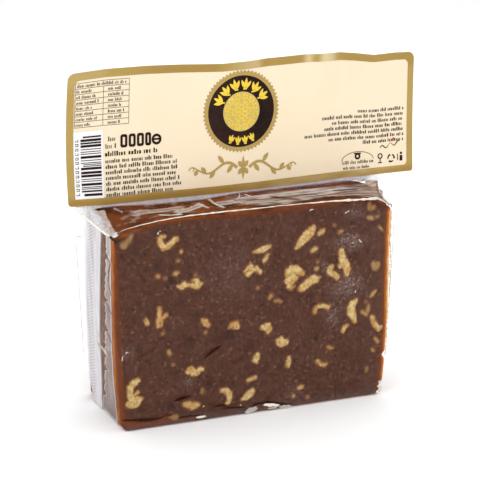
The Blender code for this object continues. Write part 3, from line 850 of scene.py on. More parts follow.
def print_finish(name, colour_value, metallic=0.0, rough=0.38, coat=0.15, unevenness_and_sheen=0.06,
                 gloss=0.3, shine=None):
    """Glossy printed film of one colour with a slight unevenness, a painted sheen where it is wide,
    and painted highlights and shade where marked.
    """
    finish = Finish(name)
    wave = finish.grain(45)
    fine = finish.grain(900, 2.0, 0.6)
    body = finish.layers(dimmed(colour_value, 1 - unevenness_and_sheen), (
        (wave * 0.7 + fine * 0.3).between(0.3, 0.7), dimmed(colour_value, 1 + unevenness_and_sheen)))
    if shine:
        body = finish.layers(body, (finish.mark("shine"), shine),
                             (finish.mark("shade"), dimmed(colour_value, (0.72, 0.60, 0.34))))
    return finish.done({
        "Base Color": body,
        "Roughness": rough + 0.10 * (fine - 0.5),
        "Metallic": metallic,
        "Specular IOR Level": gloss,
        "Coat Weight": coat,
        "Coat Roughness": 0.12,
        "Normal": finish.bump(wave, 0.0006, 0.25),
    })


# Halva block

class HALVA_OT_block(bpy.types.Operator):
    """Build the cast halva block with its creases and cracks"""

    bl_idname = "halva.block"
    bl_label = "Halva block"

    def execute(self, context):
        sizes, _, _, colours = chosen(context)
        cage, faces = block_cage(sizes, sizes.cell)
        points, out, edge = block_skin(sizes, cage)
        points += out * face_lift(points)[:, None] * smooth(0.5 * MM, 3 * MM, edge)[:, None]
        front = smooth(0.6, 0.95, -out[:, 1])
        x, z = points[:, 0].copy(), points[:, 2].copy()
        points[:, 1] += front * crease_depth(x, z)
        ahead = smooth(8 * MM, -20 * MM, points[:, 1])
        near_end = smooth(50 * MM, 56 * MM, x) * ahead
        notch = 1.3 * MM * bell(z - 17 * MM, 1.1 * MM)
        chip = 1.3 * MM * smooth(6.2 * MM, 4.5 * MM, z)
        points[:, 0] -= near_end * (notch + chip)
        points[:, 2] = np.where(out[:, 2] < -0.9, 0.0, points[:, 2])
        top = smooth(0.2, 0.7, out[:, 2]) * 0.85
        under = front * np.interp(x / MM, (-45, -30, 20, 35), (0.8, 0.35, 0.35, 0.8))
        under *= smooth(2.2 * MM, 1.2 * MM, top_height(sizes, x, points[:, 1]) - z)
        marks = {
            "glow": light_through(sizes, points, out),
            "shade": np.maximum(top, under) + 0.4 * smooth(0.6, 0.9, np.abs(out[:, 0])),
            # Milky flecks of air under the film, and a painted brightening toward the right end
            "milk": front * np.maximum(spot_share(x, z, AIR_FLECKS),
                                       0.10 * smooth(42 * MM, 52 * MM, x)),
            "spot": front * spot_share(x, z, FRONT_SPOTS),
        }
        add_piece("halva_body", points, faces, halva_finish(colours),
                  replaced=("halva_block",), marks=marks)
        add_cracks(sizes)
        return {"FINISHED"}


def light_through(sizes, points, out):
    """How much light comes through: most at the ends, some at the top and thin edges."""
    x, y, z = points.T
    side = side_reach(sizes, x, y, z) - np.abs(x)
    head = top_height(sizes, x, y) - z
    lip = np.interp(x / MM, LIP_PLACES, LIP_HEIGHTS) * MM
    crown = np.interp(x / MM, (-57, -40, -10, 10, 24, 57), (2.8, 2.3, 1.8, 1.5, 0.8, 0.4))
    crown = (crown + 0.5 * ripple((x, 0, z), 420, 9)) * MM
    below = np.interp(x / MM, (-57, -35, -25, 20, 35), (0.12, 0.18, 0.27, 0.27, 0.10))
    edge = np.max([
        bell(side, np.where(x > 0, 2.6 * MM, 1.1 * MM))
        * np.where(x > 0, np.interp(z / MM, (28, 40), (1.15, 1.6)), 0.40),
        0.14 * bell(side, 8 * MM) * (x > 0),
        0.70 * smooth(crown, crown - 0.9 * MM, head),
        below * bell(head, 3.4 * MM),
        bell(z, 1.3 * MM) * np.where(x > 0, 0.8, 0.6),
        0.42 * smooth(lip + 0.2 * MM, lip - 0.4 * MM, z) * (x < -18 * MM)], axis=0)
    end = smooth(0.5, 0.9, np.abs(out[:, 0]))
    top = smooth(0.3, 0.8, out[:, 2])
    plain = np.clip(1 - end - top, 0, 1)
    gap = (y - end_bands(z)[0]) / MM
    band = np.interp(gap, (-7.0, -5.0, -2.6, -0.9, 0.3, 1.2, 3.0),
                     (0.38, 0.50, 0.76, 1.15, 0.95, 0.60, 0.45))
    band = np.where(x > 0, np.maximum(band, 2.2 * smooth(-18.5 * MM, -21 * MM, y)), band)
    return plain * edge + end * band + np.interp(x / MM, (-56, -50, -38, -10, 15),
                                                 (0.42, 0.50, 0.66, 0.66, 0.48)) * top


def add_cracks(sizes):
    """Dark slivers of painted shadow that lie in the creases."""
    draw = random.Random(3)
    points, faces = [], []
    for path, widest in FRONT_CRACKS:
        share = np.linspace(0, 1, 40)
        faces += grid_faces(2, len(share), len(points))
        x, z = on_path(path, share)
        run = on_path(path, np.minimum(1, share + 0.02)) - on_path(
            path, np.maximum(0, share - 0.02))
        run /= np.hypot(*run)
        half = 0.7 * widest * MM * np.sin(np.pi * np.clip(share, 0.02, 0.98)) ** 0.6
        half *= [draw.uniform(0.45, 1.15) for _ in share]
        rims = [(x - side * run[1] * half, z + side * run[0] * half) for side in (-1, 1)]
        points += list(np.transpose(rims, (2, 0, 1)).reshape(-1, 2))
    x, z = np.array(points).T
    places = as_points(x, np.full(len(x), -sizes.thickness / 2), z)
    places[:, 1] += crease_depth(x, z) - 0.05 * MM - face_lift(places)
    add_piece("halva_crack_shadows", places, faces, crack_finish())


def on_path(path, share):
    """Coordinates, in metres, at shares of the length of a broken line drawn in mm."""
    corners = np.array(path) * MM
    ends = np.append(0, np.cumsum(np.linalg.norm(np.diff(corners, axis=0), axis=1)))
    return np.array([np.interp(share * ends[-1], ends, axis) for axis in corners.T])


# Walnut pieces

def kernel_depth(a, b, strokes, seed):
    """How deep places (a, b) lie inside a kernel made of tapering strokes, in mm."""
    deepest = np.full(len(a), -np.inf)
    for stroke in strokes:
        for (pa, pb, pr), (qa, qb, qr) in zip(stroke, stroke[1:] or stroke):
            run = max((qa - pa) ** 2 + (qb - pb) ** 2, 1e-9)
            share = np.clip(((a - pa) * (qa - pa) + (b - pb) * (qb - pb)) / run, 0, 1)
            away = np.hypot(a - pa - share * (qa - pa), b - pb - share * (qb - pb))
            deepest = np.maximum(deepest, pr + (qr - pr) * share - away)
    places = (a, b, seed * 3.3)
    rough = 0.28 * ripple(places, 0.7) + 0.16 * ripple(places, 1.6)
    widest = max(radius for stroke in strokes for _, _, radius in stroke)
    return deepest + 0.16 + rough * min(1.0, widest)


def kernel_patch(strokes, seed):
    """Flat cells inside a kernel's outline, drawn to its edge: points, depths and faces."""
    marks = np.array([mark for stroke in strokes for mark in stroke])
    low = (marks[:, :2] - marks[:, 2:]).min(axis=0) - 1.1
    high = (marks[:, :2] + marks[:, 2:]).max(axis=0) + 1.1
    columns, rows = np.ceil((high - low) / KERNEL_CELL).astype(int) + 1
    places = as_points(*sheet(columns, rows, (low[0], high[0]), (low[1], high[1])))
    depth = kernel_depth(*places.T, strokes, seed)
    faces = np.array(grid_faces(columns, rows))
    faces = faces[depth[faces].mean(axis=1) > -HALO]
    uses = np.bincount(faces.ravel(), minlength=len(places))
    rim = (uses > 0) & (uses < 4)
    step = 0.05
    for _ in range(3):
        here, right, above = (kernel_depth(*(places[rim] + shift).T, strokes, seed) + HALO
                              for shift in ((0, 0), (step, 0), (0, step)))
        slope = as_points(right - here, above - here) / step
        steep = np.maximum((slope ** 2).sum(axis=1), 0.3)
        places[rim] -= slope * np.clip(here / steep, -0.25, 0.25)[:, None]
    depth[rim] = -HALO
    used = np.flatnonzero(uses > 0)
    renumber = np.full(len(places), -1)
    renumber[used] = np.arange(len(used))
    return places[used], depth[used], renumber[faces]


def on_face(sizes, face, a, b, rise):
    """Points at places (a, b) on a face and a little above it, in metres."""
    side = 1 if face in ("back", "right") else -1
    if face in ("front", "back"):
        return as_points(-side * a, side * (sizes.thickness / 2 + rise), b)
    return as_points(side * (side_reach(sizes, side, side * a, b) + rise), side * a, b)


class KernelHeap:
    """Collects walnut pieces into one mesh."""

    def __init__(self, sizes):
        self.sizes = sizes
        self.points, self.faces = [], []
        self.marks = {"depth": [], "sunk": [], "tan": []}

    def add(self, face, strokes, sunk, tan, seed):
        """Lay one piece, drawn in mm, on a face."""
        flat, depth, faces = kernel_patch(strokes, seed)
        self.faces += list(len(self.points) + faces)
        rise = RELIEF * (1 - np.exp(-np.maximum(depth, 0) / 0.45)) * (1 - 0.7 * sunk)
        self.points += list(on_face(self.sizes, face, *flat.T * MM, rise + 0.02 * MM))
        self.marks["depth"] += list(depth)
        self.marks["sunk"] += [sunk] * len(flat)
        self.marks["tan"] += [tan] * len(flat)

    def build(self, colours):
        """Turn the heap into a piece that follows the uneven faces."""
        points = np.array(self.points)
        lift = face_lift(points)
        half_depth = self.sizes.thickness / 2
        on_front = points[:, 1] < -half_depth + 1e-6
        on_back = points[:, 1] > half_depth - 1e-6
        points[:, 1] += np.where(on_back, lift, 0.0) - np.where(on_front, lift, 0.0)
        points[:, 1] += np.where(on_front, crease_depth(points[:, 0], points[:, 2]), 0.0)
        add_piece("walnut_pieces", points, self.faces, kernel_finish(colours),
                  marks=self.marks)


class HALVA_OT_walnuts(bpy.types.Operator):
    """Lay the walnut pieces that show on the faces of the block"""

    bl_idname = "halva.walnuts"
    bl_label = "Walnut pieces"

    def execute(self, context):
        block, _, _, colours = chosen(context)
        heap = KernelHeap(block)
        for index, (sunk, tan, strokes) in enumerate(FRONT_KERNELS):
            points = [np.reshape(stroke, (-1, 3)).tolist() for stroke in strokes]
            heap.add("front", points, sunk, tan, 1.7 + index)
        for face, count, seed in (("back", 78, 11), ("left", 9, 23), ("right", 18, 37)):
            scatter_kernels(heap, face, count, seed)
        heap.build(colours)
        return {"FINISHED"}


def scatter_kernels(heap, face, count, seed):
    """Spread pieces over a face, the largest first, clear of each other."""
    draw = random.Random(seed)
    reach = {"back": (-49, 49, 75), "left": (-17, -3, 71), "right": (-16, 16, 71)}[face]
    placed = []
    for step in range(count):
        size = 1.2 + 9.0 * (1 - step / count) ** 1.7 * draw.uniform(0.7, 1.1)
        for _ in range(60):
            a, b = draw.uniform(reach[0], reach[1]), draw.uniform(6, reach[2])
            if all(math.hypot(a - x, b - y) > 0.6 * (size + other)
                   for x, y, other in placed):
                placed.append((a, b, size))
                heap.add(face, kernel_lobes(draw, a, b, size),
                         draw.choice((0.0, 0.1, 0.3, 0.6)),
                         draw.choice((0.0, 0.1, 0.3, 0.7)), seed + step * 1.31)
                break


def kernel_lobes(draw, a, b, size):
    """Tapering strokes of a broken kernel about a place."""
    thick = min(1.6, 0.30 * size)
    turn = draw.uniform(0, math.tau)
    strokes = []
    for limb in range(1 if size < 3.5 else draw.choice((1, 2, 2, 3))):
        path = [(a, b, thick * draw.uniform(0.7, 1.0))]
        heading = turn + limb * math.tau / 2.6
        for _ in range(1 if size < 2 else 3):
            heading += draw.uniform(-0.7, 0.7)
            reach = 0.17 * size
            path.append((path[-1][0] + reach * math.cos(heading),
                         path[-1][1] + reach * math.sin(heading),
                         thick * draw.uniform(0.45, 0.95)))
        strokes.append(path)
    return strokes


# Header surface

def header_surface(sizes, a, b, lift=0.0):
    """Points of the header: a from its left edge, b up from its foot, lift to the front."""
    u, v = a / sizes.width, np.clip(b / sizes.height, 0, 1)
    foot = np.outer(1 - u, sizes.foot_left) + np.outer(u, sizes.foot_right)
    head = np.outer(1 - u, sizes.head_left) + np.outer(u, sizes.head_right)
    points = foot * (1 - v)[:, None] + head * v[:, None]
    arch, swell = np.sin(np.pi * np.clip(u, 0, 1)), np.sin(np.pi * v)
    points[:, 0] -= (sizes.left_bow * (1 - u) ** 2 + sizes.right_dip * u ** 2) * swell
    points[:, 2] += np.interp(u, HEAD_PLACES, HEAD_RISES) * MM * v ** 1.5
    points[:, 2] -= np.interp(u, FOOT_PLACES, FOOT_SAGS) * MM * (1 - v) ** 1.5
    points[:, 1] -= sizes.belly * arch * swell
    slack = (ripple((u * 6.0, v * 1.1, 0), seed=3) * (0.35 + v ** 2)
             + 0.7 * ripple((u * 20.0, v * 1.6, 4), seed=5) * (1 - v) ** 3)
    kinks = sum(depth * bell(u - place, width) for place, width, depth in KINKS) * v ** 5
    points[:, 1] += sizes.ripple * (slack + 1.2 * kinks) - lift
    return points


def rounded_sheet(sizes, cell):
    """Flat grid with rounded corners: places a and b, and its columns and rows."""
    grid = round(sizes.width / cell) + 1, round(sizes.height / cell) + 1
    a, b = sheet(*grid, (0, sizes.width), (0, sizes.height))
    radius = np.where(b > 0.5 * sizes.height, sizes.head_radius, sizes.foot_radius)
    centre_a = np.clip(a, radius, sizes.width - radius)
    centre_b = np.clip(b, radius, sizes.height - radius)
    away = np.hypot(a - centre_a, b - centre_b)
    square = np.maximum(np.abs(a - centre_a), np.abs(b - centre_b))
    pull = np.where(away > 0, square / np.maximum(away, 1e-9), 1.0)
    return centre_a + (a - centre_a) * pull, centre_b + (b - centre_b) * pull, grid


class PrintLayer:
    """Flat shapes in mm on the header's own plane, laid on its surface when built."""

    def __init__(self):
        self.places, self.faces = [], []

    def bar(self, a, b, width, height):
        """Rectangle from its lower left corner, in cells that can follow the surface."""
        columns, rows = (math.ceil(side / PRINT_CELL) + 1 for side in (width, height))
        self.faces += grid_faces(columns, rows, len(self.places))
        self.places += list(as_points(*sheet(columns, rows, (a, a + width), (b, b + height))))

    def band(self, inner, outer, closed=True):
        """Strip between two outlines of as many points."""
        self.faces += grid_faces(len(inner), 3, len(self.places), turned=True, closed=closed)
        self.places += [*inner, *((inner + outer) / 2), *outer]

    def stroke(self, path, widths):
        """Ribbon along a path, with one width or a width at each point."""
        run = headings(path)
        left = as_points(-run[:, 1], run[:, 0]) * np.broadcast_to(widths, len(path))[:, None] / 2
        self.band(path - left, path + left, closed=False)

    def ring(self, centre, inner, outer, steps, oval=(1.0, 1.0), teeth=0.0):
        """Ring or, with no inner radius, a disc; teeth raise every other outer point."""
        turn = np.arange(steps)
        self.band(*(on_oval(centre, radius + tooth * (turn % 2), math.tau * turn / steps, oval)
                    for radius, tooth in ((max(inner, 0.02), 0.0), (outer, teeth))))

    def petal(self, root, tip, width):
        """Pointed leaf between two points."""
        t = np.linspace(0, 1, 9)
        self.stroke(np.outer(1 - t, root) + np.outer(t, tip),
                    np.maximum(0.03, width * np.sin(np.pi * t) ** 0.8))

    def small_print(self, a, b, width, height, seed, bold=1.0):
        """Line of upright ticks in groups, in place of a line of small print."""
        draw = random.Random(seed)
        place, group = a, draw.randint(3, 9)
        while place < a + width:
            wide = height * draw.uniform(0.16, 0.34) * bold
            self.bar(place, b, wide, height * draw.choice((0.68, 0.68, 0.72, 1.0)))
            place += wide + height * draw.uniform(0.14, 0.26)
            group -= 1
            if group == 0:
                place += 0.45 * height
                group = draw.randint(3, 9)

    def build(self, name, sizes, material, level):
        """Lay the shapes on the header, each level 0.05 mm above the one below."""
        points = header_surface(sizes, *np.array(self.places).T * MM,
                                lift=(0.08 + 0.05 * level) * MM)
        add_piece(name, points, self.faces, material)


def on_oval(centre, radius, angle, oval=(1.0, 1.0)):
    """Points at angles round an oval."""
    return np.stack((centre[0] + oval[0] * radius * np.cos(angle),
                     centre[1] + oval[1] * radius * np.sin(angle)), axis=-1)


def rounded_outline(left, low, right, high, foot_radius, head_radius, count=0):
    """Points round a rectangle with rounded corners, all or a count spread among them."""
    arcs = [on_oval((a, b), radius, np.radians(np.linspace(start, start + 90, 9)))
            for a, b, start, radius in (
                (right - foot_radius, low + foot_radius, -90, foot_radius),
                (right - head_radius, high - head_radius, 0, head_radius),
                (left + head_radius, high - head_radius, 90, head_radius),
                (left + foot_radius, low + foot_radius, 180, foot_radius))]
    points = []
    for index, arc in enumerate(arcs):
        steps = max(2, round((right - left if index % 2 else high - low) / 1.4))
        share = np.arange(1, steps)[:, None] / steps
        points += [*arc, *(arc[-1] + (arcs[(index + 1) % 4][0] - arc[-1]) * share)]
    if not count:
        return np.array(points)
    share = np.arange(count) * len(points) / count
    places = np.array(points + points[:1])
    return as_points(*(np.interp(share, np.arange(len(places)), axis) for axis in places.T))


class HALVA_OT_header(bpy.types.Operator):
    """Build the header's two printed faces with their gold border"""

    bl_idname = "halva.header"
    bl_label = "Header"

    def execute(self, context):
        _, _, sizes, colours = chosen(context)
        cream = print_finish("cream print", colours.cream, rough=0.34, coat=0.25, unevenness_and_sheen=0.02)
        gold = print_finish("gold print", colours.gold, metallic=0.25, rough=0.42, coat=0.1,
                            unevenness_and_sheen=0.08, shine=(0.93, 0.80, 0.52))
        a, b, grid = rounded_sheet(sizes, 1.0 * MM)
        front = header_surface(sizes, a, b, lift=0.04 * MM)
        back = header_surface(sizes, a, b, lift=-0.06 * MM)
        faces = grid_faces(*grid) + grid_faces(*grid, first=len(a), turned=True)
        add_piece("header_film", np.vstack([front, back]), faces, cream,
                  replaced=("header_panel",))
        add_border("header_border", sizes, gold, 0.12 * MM)
        add_border("header_border_back", sizes, gold, -0.14 * MM)
        return {"FINISHED"}


def add_border(name, sizes, material, lift):
    """Gold frame, brighter where the film bends to the light."""
    wide, tall, border = sizes.width / MM, sizes.height / MM, sizes.border / MM
    frame = PrintLayer()
    outer = rounded_outline(0.05, 0.05, wide - 0.05, tall - 0.05, sizes.foot_radius / MM,
                            sizes.head_radius / MM)
    inner = rounded_outline(border, border, wide - border, tall - border, 1.6, 2.0, len(outer))
    frame.band(inner, outer)
    a, b = np.array(frame.places).T
    u, v = a / wide, b / tall
    head, foot = smooth(0.86, 0.92, v), smooth(0.10, 0.03, v)
    tone = np.interp(u, GOLD_PLACES, GOLD_TONES)
    low = np.interp(u, (0, 0.45, 0.55, 0.85, 1.0), (0.0, 0.0, 0.25, 0.25, 0.0))
    low = low * np.clip(0.6 + 1.4 * ripple((u, v, 0), (22, 60, 1), 5), 0, 1.6)
    shade = foot * np.interp(u, (0, 0.45, 0.60, 0.9, 1), (0.8, 0.75, 0.45, 0.6, 0.8))
    shade = shade * smooth(0.075, 0.03, v) ** 0.6 + head * np.maximum(-tone, 0)
    points = header_surface(sizes, a * MM, b * MM, lift=lift)
    faces = frame.faces if lift > 0 else [face[::-1] for face in frame.faces]
    add_piece(name, points, faces, material,
              marks={"shine": head * np.maximum(tone, 0) + foot * low, "shade": shade})


class HALVA_OT_print(bpy.types.Operator):
    """Lay the plain fields, ticks and ornaments of the print on the header"""

    bl_idname = "halva.print"
    bl_label = "Header print"

    def execute(self, context):
        _, _, sizes, colours = chosen(context)
        ink = print_finish("small print", colours.ink, rough=0.5, coat=0.05)
        dark = print_finish("dark print", colours.plum, rough=0.5, coat=0.0, gloss=0.08)
        gold = print_finish("gold ornament", colours.gold, metallic=0.1, rough=0.45)
        bright = print_finish("bright gold print", colours.bright_gold, rough=0.42, coat=0.05,
                              unevenness_and_sheen=0.16, gloss=0.15)
        white = print_finish("white panel", colours.panel, rough=0.4, unevenness_and_sheen=0.02)
        accent = print_finish("red accent", colours.accent, rough=0.4)
        add_table(sizes, ink)
        add_stripes(sizes, white, dark)
        add_left_print(sizes, ink, dark)
        add_right_print(sizes, ink, dark, accent)
        pale = print_finish("heart gold", colours.heart_gold, rough=0.45, unevenness_and_sheen=0.12)
        # The ring's wide unevenness stands for a painted sheen
        plum = print_finish("plum print", colours.plum, rough=0.5, coat=0.0, unevenness_and_sheen=0.7, gloss=0.08)
        add_medallion(sizes, gold, plum, bright, pale)
        add_flourish(sizes, gold)
        return {"FINISHED"}


def add_table(sizes, ink):
    """Ruled table at the upper left."""
    table = PrintLayer()
    left, right, low, high, column = 3.2, 24.4, 29.0, 45.0, 14.2
    rows = 8
    pitch = (high - low) / rows
    for row in range(rows + 1):
        table.bar(left, low + pitch * row, right - left, 0.16)
    for place in (left, column, right):
        table.bar(place, low, 0.16, (high - low) * (1.0 if place != column else 0.875))
    for row in range(rows):
        b = low + pitch * row + 0.5
        if row == rows - 1:
            table.small_print(left + 0.8, b, right - left - 1.8, 1.15, 60)
            continue
        table.small_print(left + 0.5, b, 5.4 + 4.2 * ((row * 37) % 10) / 10, 1.1, 61 + row)
        table.small_print(column + 2.0, b, 4.8 + 0.6 * (row % 3), 1.1, 81 + row)
    table.build("print_table", sizes, ink, 1)


def add_stripes(sizes, white, dark):
    """White panel with a stack of stripes at the lower left."""
    panel = PrintLayer()
    panel.bar(2.9, 2.7, 11.4, 24.8)
    panel.build("print_panel", sizes, white, 1)
    stripes = PrintLayer()
    draw = random.Random(9)
    place = 3.7
    while place < 25.6:
        thick = draw.choice((0.3, 0.3, 0.6, 0.9))
        short = 0.0 if 4.6 < place < 24.8 and abs(place - 14.8) > 0.6 else 0.9
        stripes.bar(5.6 + short, place, 8.0 - short, thick)
        place += thick + draw.choice((0.3, 0.45, 0.6))
    for step in range(13):
        b = 4.0 + 1.66 * step
        stripes.bar(3.5, b, 1.3, 0.22)
        stripes.bar(3.5, b + 0.55 * (step % 2), 0.25, 0.45)
        stripes.bar(4.5, b, 0.25, 0.9)
        if step % 3:
            stripes.bar(3.5, b + 0.7, 1.3, 0.22)
    stripes.build("print_stripes", sizes, dark, 2)


def add_left_print(sizes, ink, dark):
    """Bold mark, heading and paragraph beside the panel."""
    small = PrintLayer()
    small.small_print(16.4, 23.2, 3.2, 1.7, 21)
    small.small_print(15.3, 20.6, 4.4, 1.7, 22)
    for row, wide in enumerate((27.5, 29, 29.5, 29, 30, 30.5, 26.5)):
        small.small_print(15.2, 15.3 - 2.06 * row, wide, 1.5, 24 + row, bold=1.25)
    small.build("print_small_left", sizes, ink, 1)
    bold = PrintLayer()
    bold.small_print(15.1, 17.8, 21.0, 1.75, 23, bold=1.5)
    for place, wide in ((21.2, 2.8), (24.5, 2.8), (27.8, 2.8), (31.1, 2.4)):
        bold.band(rounded_outline(place + 0.95, 21.5, place + wide - 0.95, 24.3, 0.2, 0.2, 60),
                  rounded_outline(place, 20.5, place + wide, 25.3, 0.9, 0.9, 60))
    bold.ring((35.7, 22.6), 1.05, 2.0, steps=40)
    bold.bar(34.5, 22.3, 2.4, 0.7)
    bold.build("print_bold_mark", sizes, dark, 1)


def add_right_print(sizes, ink, dark, accent):
    """Lines, strokes and small plain signs at the right."""
    lines = PrintLayer()
    for row, wide in enumerate((21.5, 38, 33.5, 37, 46, 35, 19)):
        lines.small_print(145.0 - wide, 26.0 - 2.12 * row, wide, 1.45, 41 + row, bold=1.3)
    lines.small_print(117.0, 3.3, 12.0, 1.2, 51)
    lines.small_print(116.6, 5.4, 14.4, 1.4, 52)
    lines.build("print_small_right", sizes, ink, 1)
    signs = PrintLayer()
    t = np.linspace(0, 1, 25)
    signs.stroke(as_points(116.2 + 15 * t, 6.9 + 3.4 * np.sin(np.pi * t) ** 0.5), 0.22)
    signs.ring((123.6, 8.4), 0.55, 1.35, steps=28)
    signs.bar(122.0, 9.3, 3.2, 0.55)
    signs.ring((134.3, 7.6), 0.70, 1.2, steps=28)
    signs.bar(134.15, 4.9, 0.4, 1.7)
    signs.bar(133.3, 4.6, 2.0, 0.4)
    for start in (108, 228, 348):
        arc = on_oval((139.6, 6.3), 1.5, np.radians(np.linspace(start, start + 84, 8)))
        signs.stroke(arc, np.linspace(0.85, 0.45, 8))
    signs.bar(143.8, 4.8, 1.3, 2.3)
    signs.ring((144.4, 8.0), 0.02, 0.55, steps=20)
    signs.bar(142.6, 5.2, 0.4, 2.6)
    t = np.linspace(0, 1, 40)
    signs.stroke(as_points(134.2 + 9.4 * t, 11 + 1.7 * t + 0.7 * np.sin(15 * t)),
                 0.30 + 0.15 * np.sin(9 * t))
    signs.build("print_signs", sizes, dark, 1)
    mark = PrintLayer()
    mark.petal((139.6, 13.9), (141.6, 14.5), 0.8)
    mark.build("print_accent", sizes, accent, 2)


def add_medallion(sizes, gold, plum, bright, pale):
    """Round medallion: toothed rim, dark ring with palmettes, rosettes at its heart."""
    centre, oval = (71.0, 30.6), (1.025, 0.975)
    for name, inner, outer, teeth, finish, level in (
            ("rim", 13.4, 15.1, 0.85, gold, 1), ("ring", 7.6, 13.75, 0.0, plum, 2),
            ("heart", 0.0, 7.6, 0.0, pale, 2)):
        part = PrintLayer()
        part.ring(centre, inner, outer, steps=124, oval=oval, teeth=teeth)
        part.build("medallion_" + name, sizes, finish, level)
    leaves = PrintLayer()
    for first, last, count, low, high, wide in ((153, 31, 6, 8.7, 12.9, 1.0),
                                                (248, 293, 4, 12.6, 9.3, 0.7)):
        for angle in np.radians(np.linspace(first, last, count)):
            root = on_oval(centre, low, angle, oval)
            for spread, reach in ((-0.17, 0.8), (0.0, 1.0), (0.17, 0.8)):
                tip = on_oval(centre, low + (high - low) * reach, angle + spread * wide, oval)
                leaves.petal(root, tip, 1.3 * wide)
            leaves.bar(root[0] - 0.8 * wide, root[1] - 0.25, 1.6 * wide, 0.5)
    for radius, count, size in ((0.0, 1, 1.7), (3.0, 6, 1.55), (5.9, 12, 1.5)):
        for step in range(count):
            angle = math.tau * (step + 0.5 * (count > 6)) / count
            middle = on_oval(centre, radius, angle, oval)
            leaves.ring(middle, 0.35, 0.6, steps=12)
            for leaf in range(6):
                turn = angle + math.tau * leaf / 6
                leaves.petal(on_oval(middle, 0.4 * size, turn), on_oval(middle, size, turn),
                             0.62 * size)
    leaves.build("medallion_leaves", sizes, bright, 3)


def add_flourish(sizes, gold):
    """Gold scroll ornament under the medallion."""
    scroll = PrintLayer()
    middle, base = 72.0, 9.2
    for side in (-1, 1):
        def vine(t, swing=2.3):
            """Point at a share of the way out, with a swing up and down."""
            reach = side * (2.6 + 19.0 * t)
            lift = swing * np.sin(2.2 * np.pi * t) * (1 - 0.35 * t)
            return np.stack((middle + reach, base - 0.045 * reach + lift), axis=-1)
        t = np.linspace(0, 1, 44)
        scroll.stroke(vine(t), 1.25 - 0.85 * t)
        for t, lift, reach in ((0.10, -1, 4.4), (0.30, 1, 4.6), (0.50, -1, 4.2),
                               (0.70, 1, 3.6), (0.88, -1, 2.8)):
            scroll.petal(vine(t), vine(t) + (side * reach * 0.55, lift * reach * 0.72), 1.7)
        t = np.linspace(0, 0.85, 26)
        scroll.stroke(on_oval(vine(1, 0) - (0, 0.4), 1.5 * (1 - t), 5.2 * t, (side, 1)),
                      np.linspace(0.5, 0.3, 26))
    for angle in np.radians((45, 135, 225, 315)):
        scroll.petal((middle, base), on_oval((middle, base), 3.0, angle, (1, 1.2)), 1.9)
    scroll.petal((middle, base - 4.6), (middle, base + 4.6), 1.5)
    scroll.build("print_flourish", sizes, gold, 1)


# Clear film

class HALVA_OT_film_wrap(bpy.types.Operator):
    """Wrap the clear film tightly over the front, the back and the foot of the block"""

    bl_idname = "halva.film_wrap"
    bl_label = "Film round the block"

    def execute(self, context):
        block, film, _, colours = chosen(context)
        cage, faces = block_cage(block, film.cell)
        points, out, edge = block_skin(block, cage, grow=film.stand_off)
        tight = 0.05 * MM * ripple(points, 240, 8) + face_lift(points)
        points += out * (tight * smooth(0.4 * MM, 3 * MM, edge))[:, None]
        points[:, 2] = np.maximum(points[:, 2], 0.05 * MM)
        keep = [face for face in faces if min(out[index, 2] for index in face) < 0.75
                and min(abs(out[index, 0]) for index in face) < 0.8]
        flat = smooth(0.6, 0.95, np.abs(out[:, 1]))
        foot = bell(points[:, 2], 2.5 * MM) * flat
        marks = {"gloss": 0.08 + 0.04 * flat + 0.5 * foot, "milk": 0.04 * foot}
        add_piece("film_wrap", points, keep, film_finish("clear film", colours),
                  marks=marks)
        add_beads(block, colours)
        return {"FINISHED"}


def add_beads(block, colours):
    """Beads of film along the foot and the right edge, painted as highlights and glow, short glints
    on the front.
    """
    tubes = TubeHeap()
    front = -0.5 * block.thickness
    for index, (x, z, wide, tall, turn, milk) in enumerate(FILM_BEADS):
        t, turn = np.linspace(-1, 1, 22), math.radians(turn)
        bend = 0.12 * tall * np.sin(9 * t + index)
        path = (x + t * wide * math.cos(turn), z + t * wide * math.sin(turn) + bend)
        tubes.add((path[0] * MM, front - 0.35 * MM, path[1] * MM),
                  tall * MM * np.maximum(0.1, 1 - t ** 2) ** 0.5, milk, 50 + index, sides=8,
                  flat=0.35)
    for index, (x, z, long, turn, radius) in enumerate(FILM_GLINTS):
        t, turn = np.linspace(-0.5, 0.5, 12), math.radians(turn)
        bend = 0.1 * np.sin(8 * t + index)
        path = (x + t * long * math.cos(turn), z + t * long * math.sin(turn) + bend)
        tubes.add((path[0] * MM, front - 0.40 * MM, path[1] * MM), radius * MM, 0.95,
                  70 + index, flat=0.5)
    draw = random.Random(19)
    for x, z, wide, tall, strength in AIR_FLECKS:
        for _ in range(round(1.5 * wide * tall * strength)):
            turn, away = draw.uniform(0, math.tau), draw.random() ** 0.6
            spot = ((x + away * wide * math.cos(turn)) * MM, front - 0.35 * MM,
                    (z + away * tall * math.sin(turn)) * MM)
            tubes.bead(spot, draw.uniform(0.07, 0.16) * MM, draw.uniform(0.15, 0.5), draw)
    for _ in range(9):
        spot = (draw.uniform(53.6, 56.2) * MM, front - draw.uniform(0, 0.4) * MM,
                draw.uniform(1.2, 5.8) * MM)
        tubes.bead(spot, draw.uniform(0.4, 0.8) * MM, draw.uniform(0.6, 1.0), draw)
    tubes.build("film_beads", crease_finish("film bead", colours.crest_highlight))
    lit = TubeHeap()
    height = 0.016
    while height < EDGE_END:
        height += draw.uniform(0.5, 1.1) * MM
        reach = float(side_reach(block, 1, front, height))
        inset = draw.uniform(-0.1, 0.5) + 0.9 * float(
            smooth(0.036, 0.042, height) * smooth(0.066, 0.060, height))
        spot = (reach + inset * MM, front + (1.0 + 1.1 * max(inset, 0)) * MM, height)
        lit.bead(spot, draw.uniform(0.20, 0.50) * MM, draw.uniform(0.6, 1.0), draw)
    lit.build("film_edge_beads", crease_finish("lit film bead", colours.lit_film))


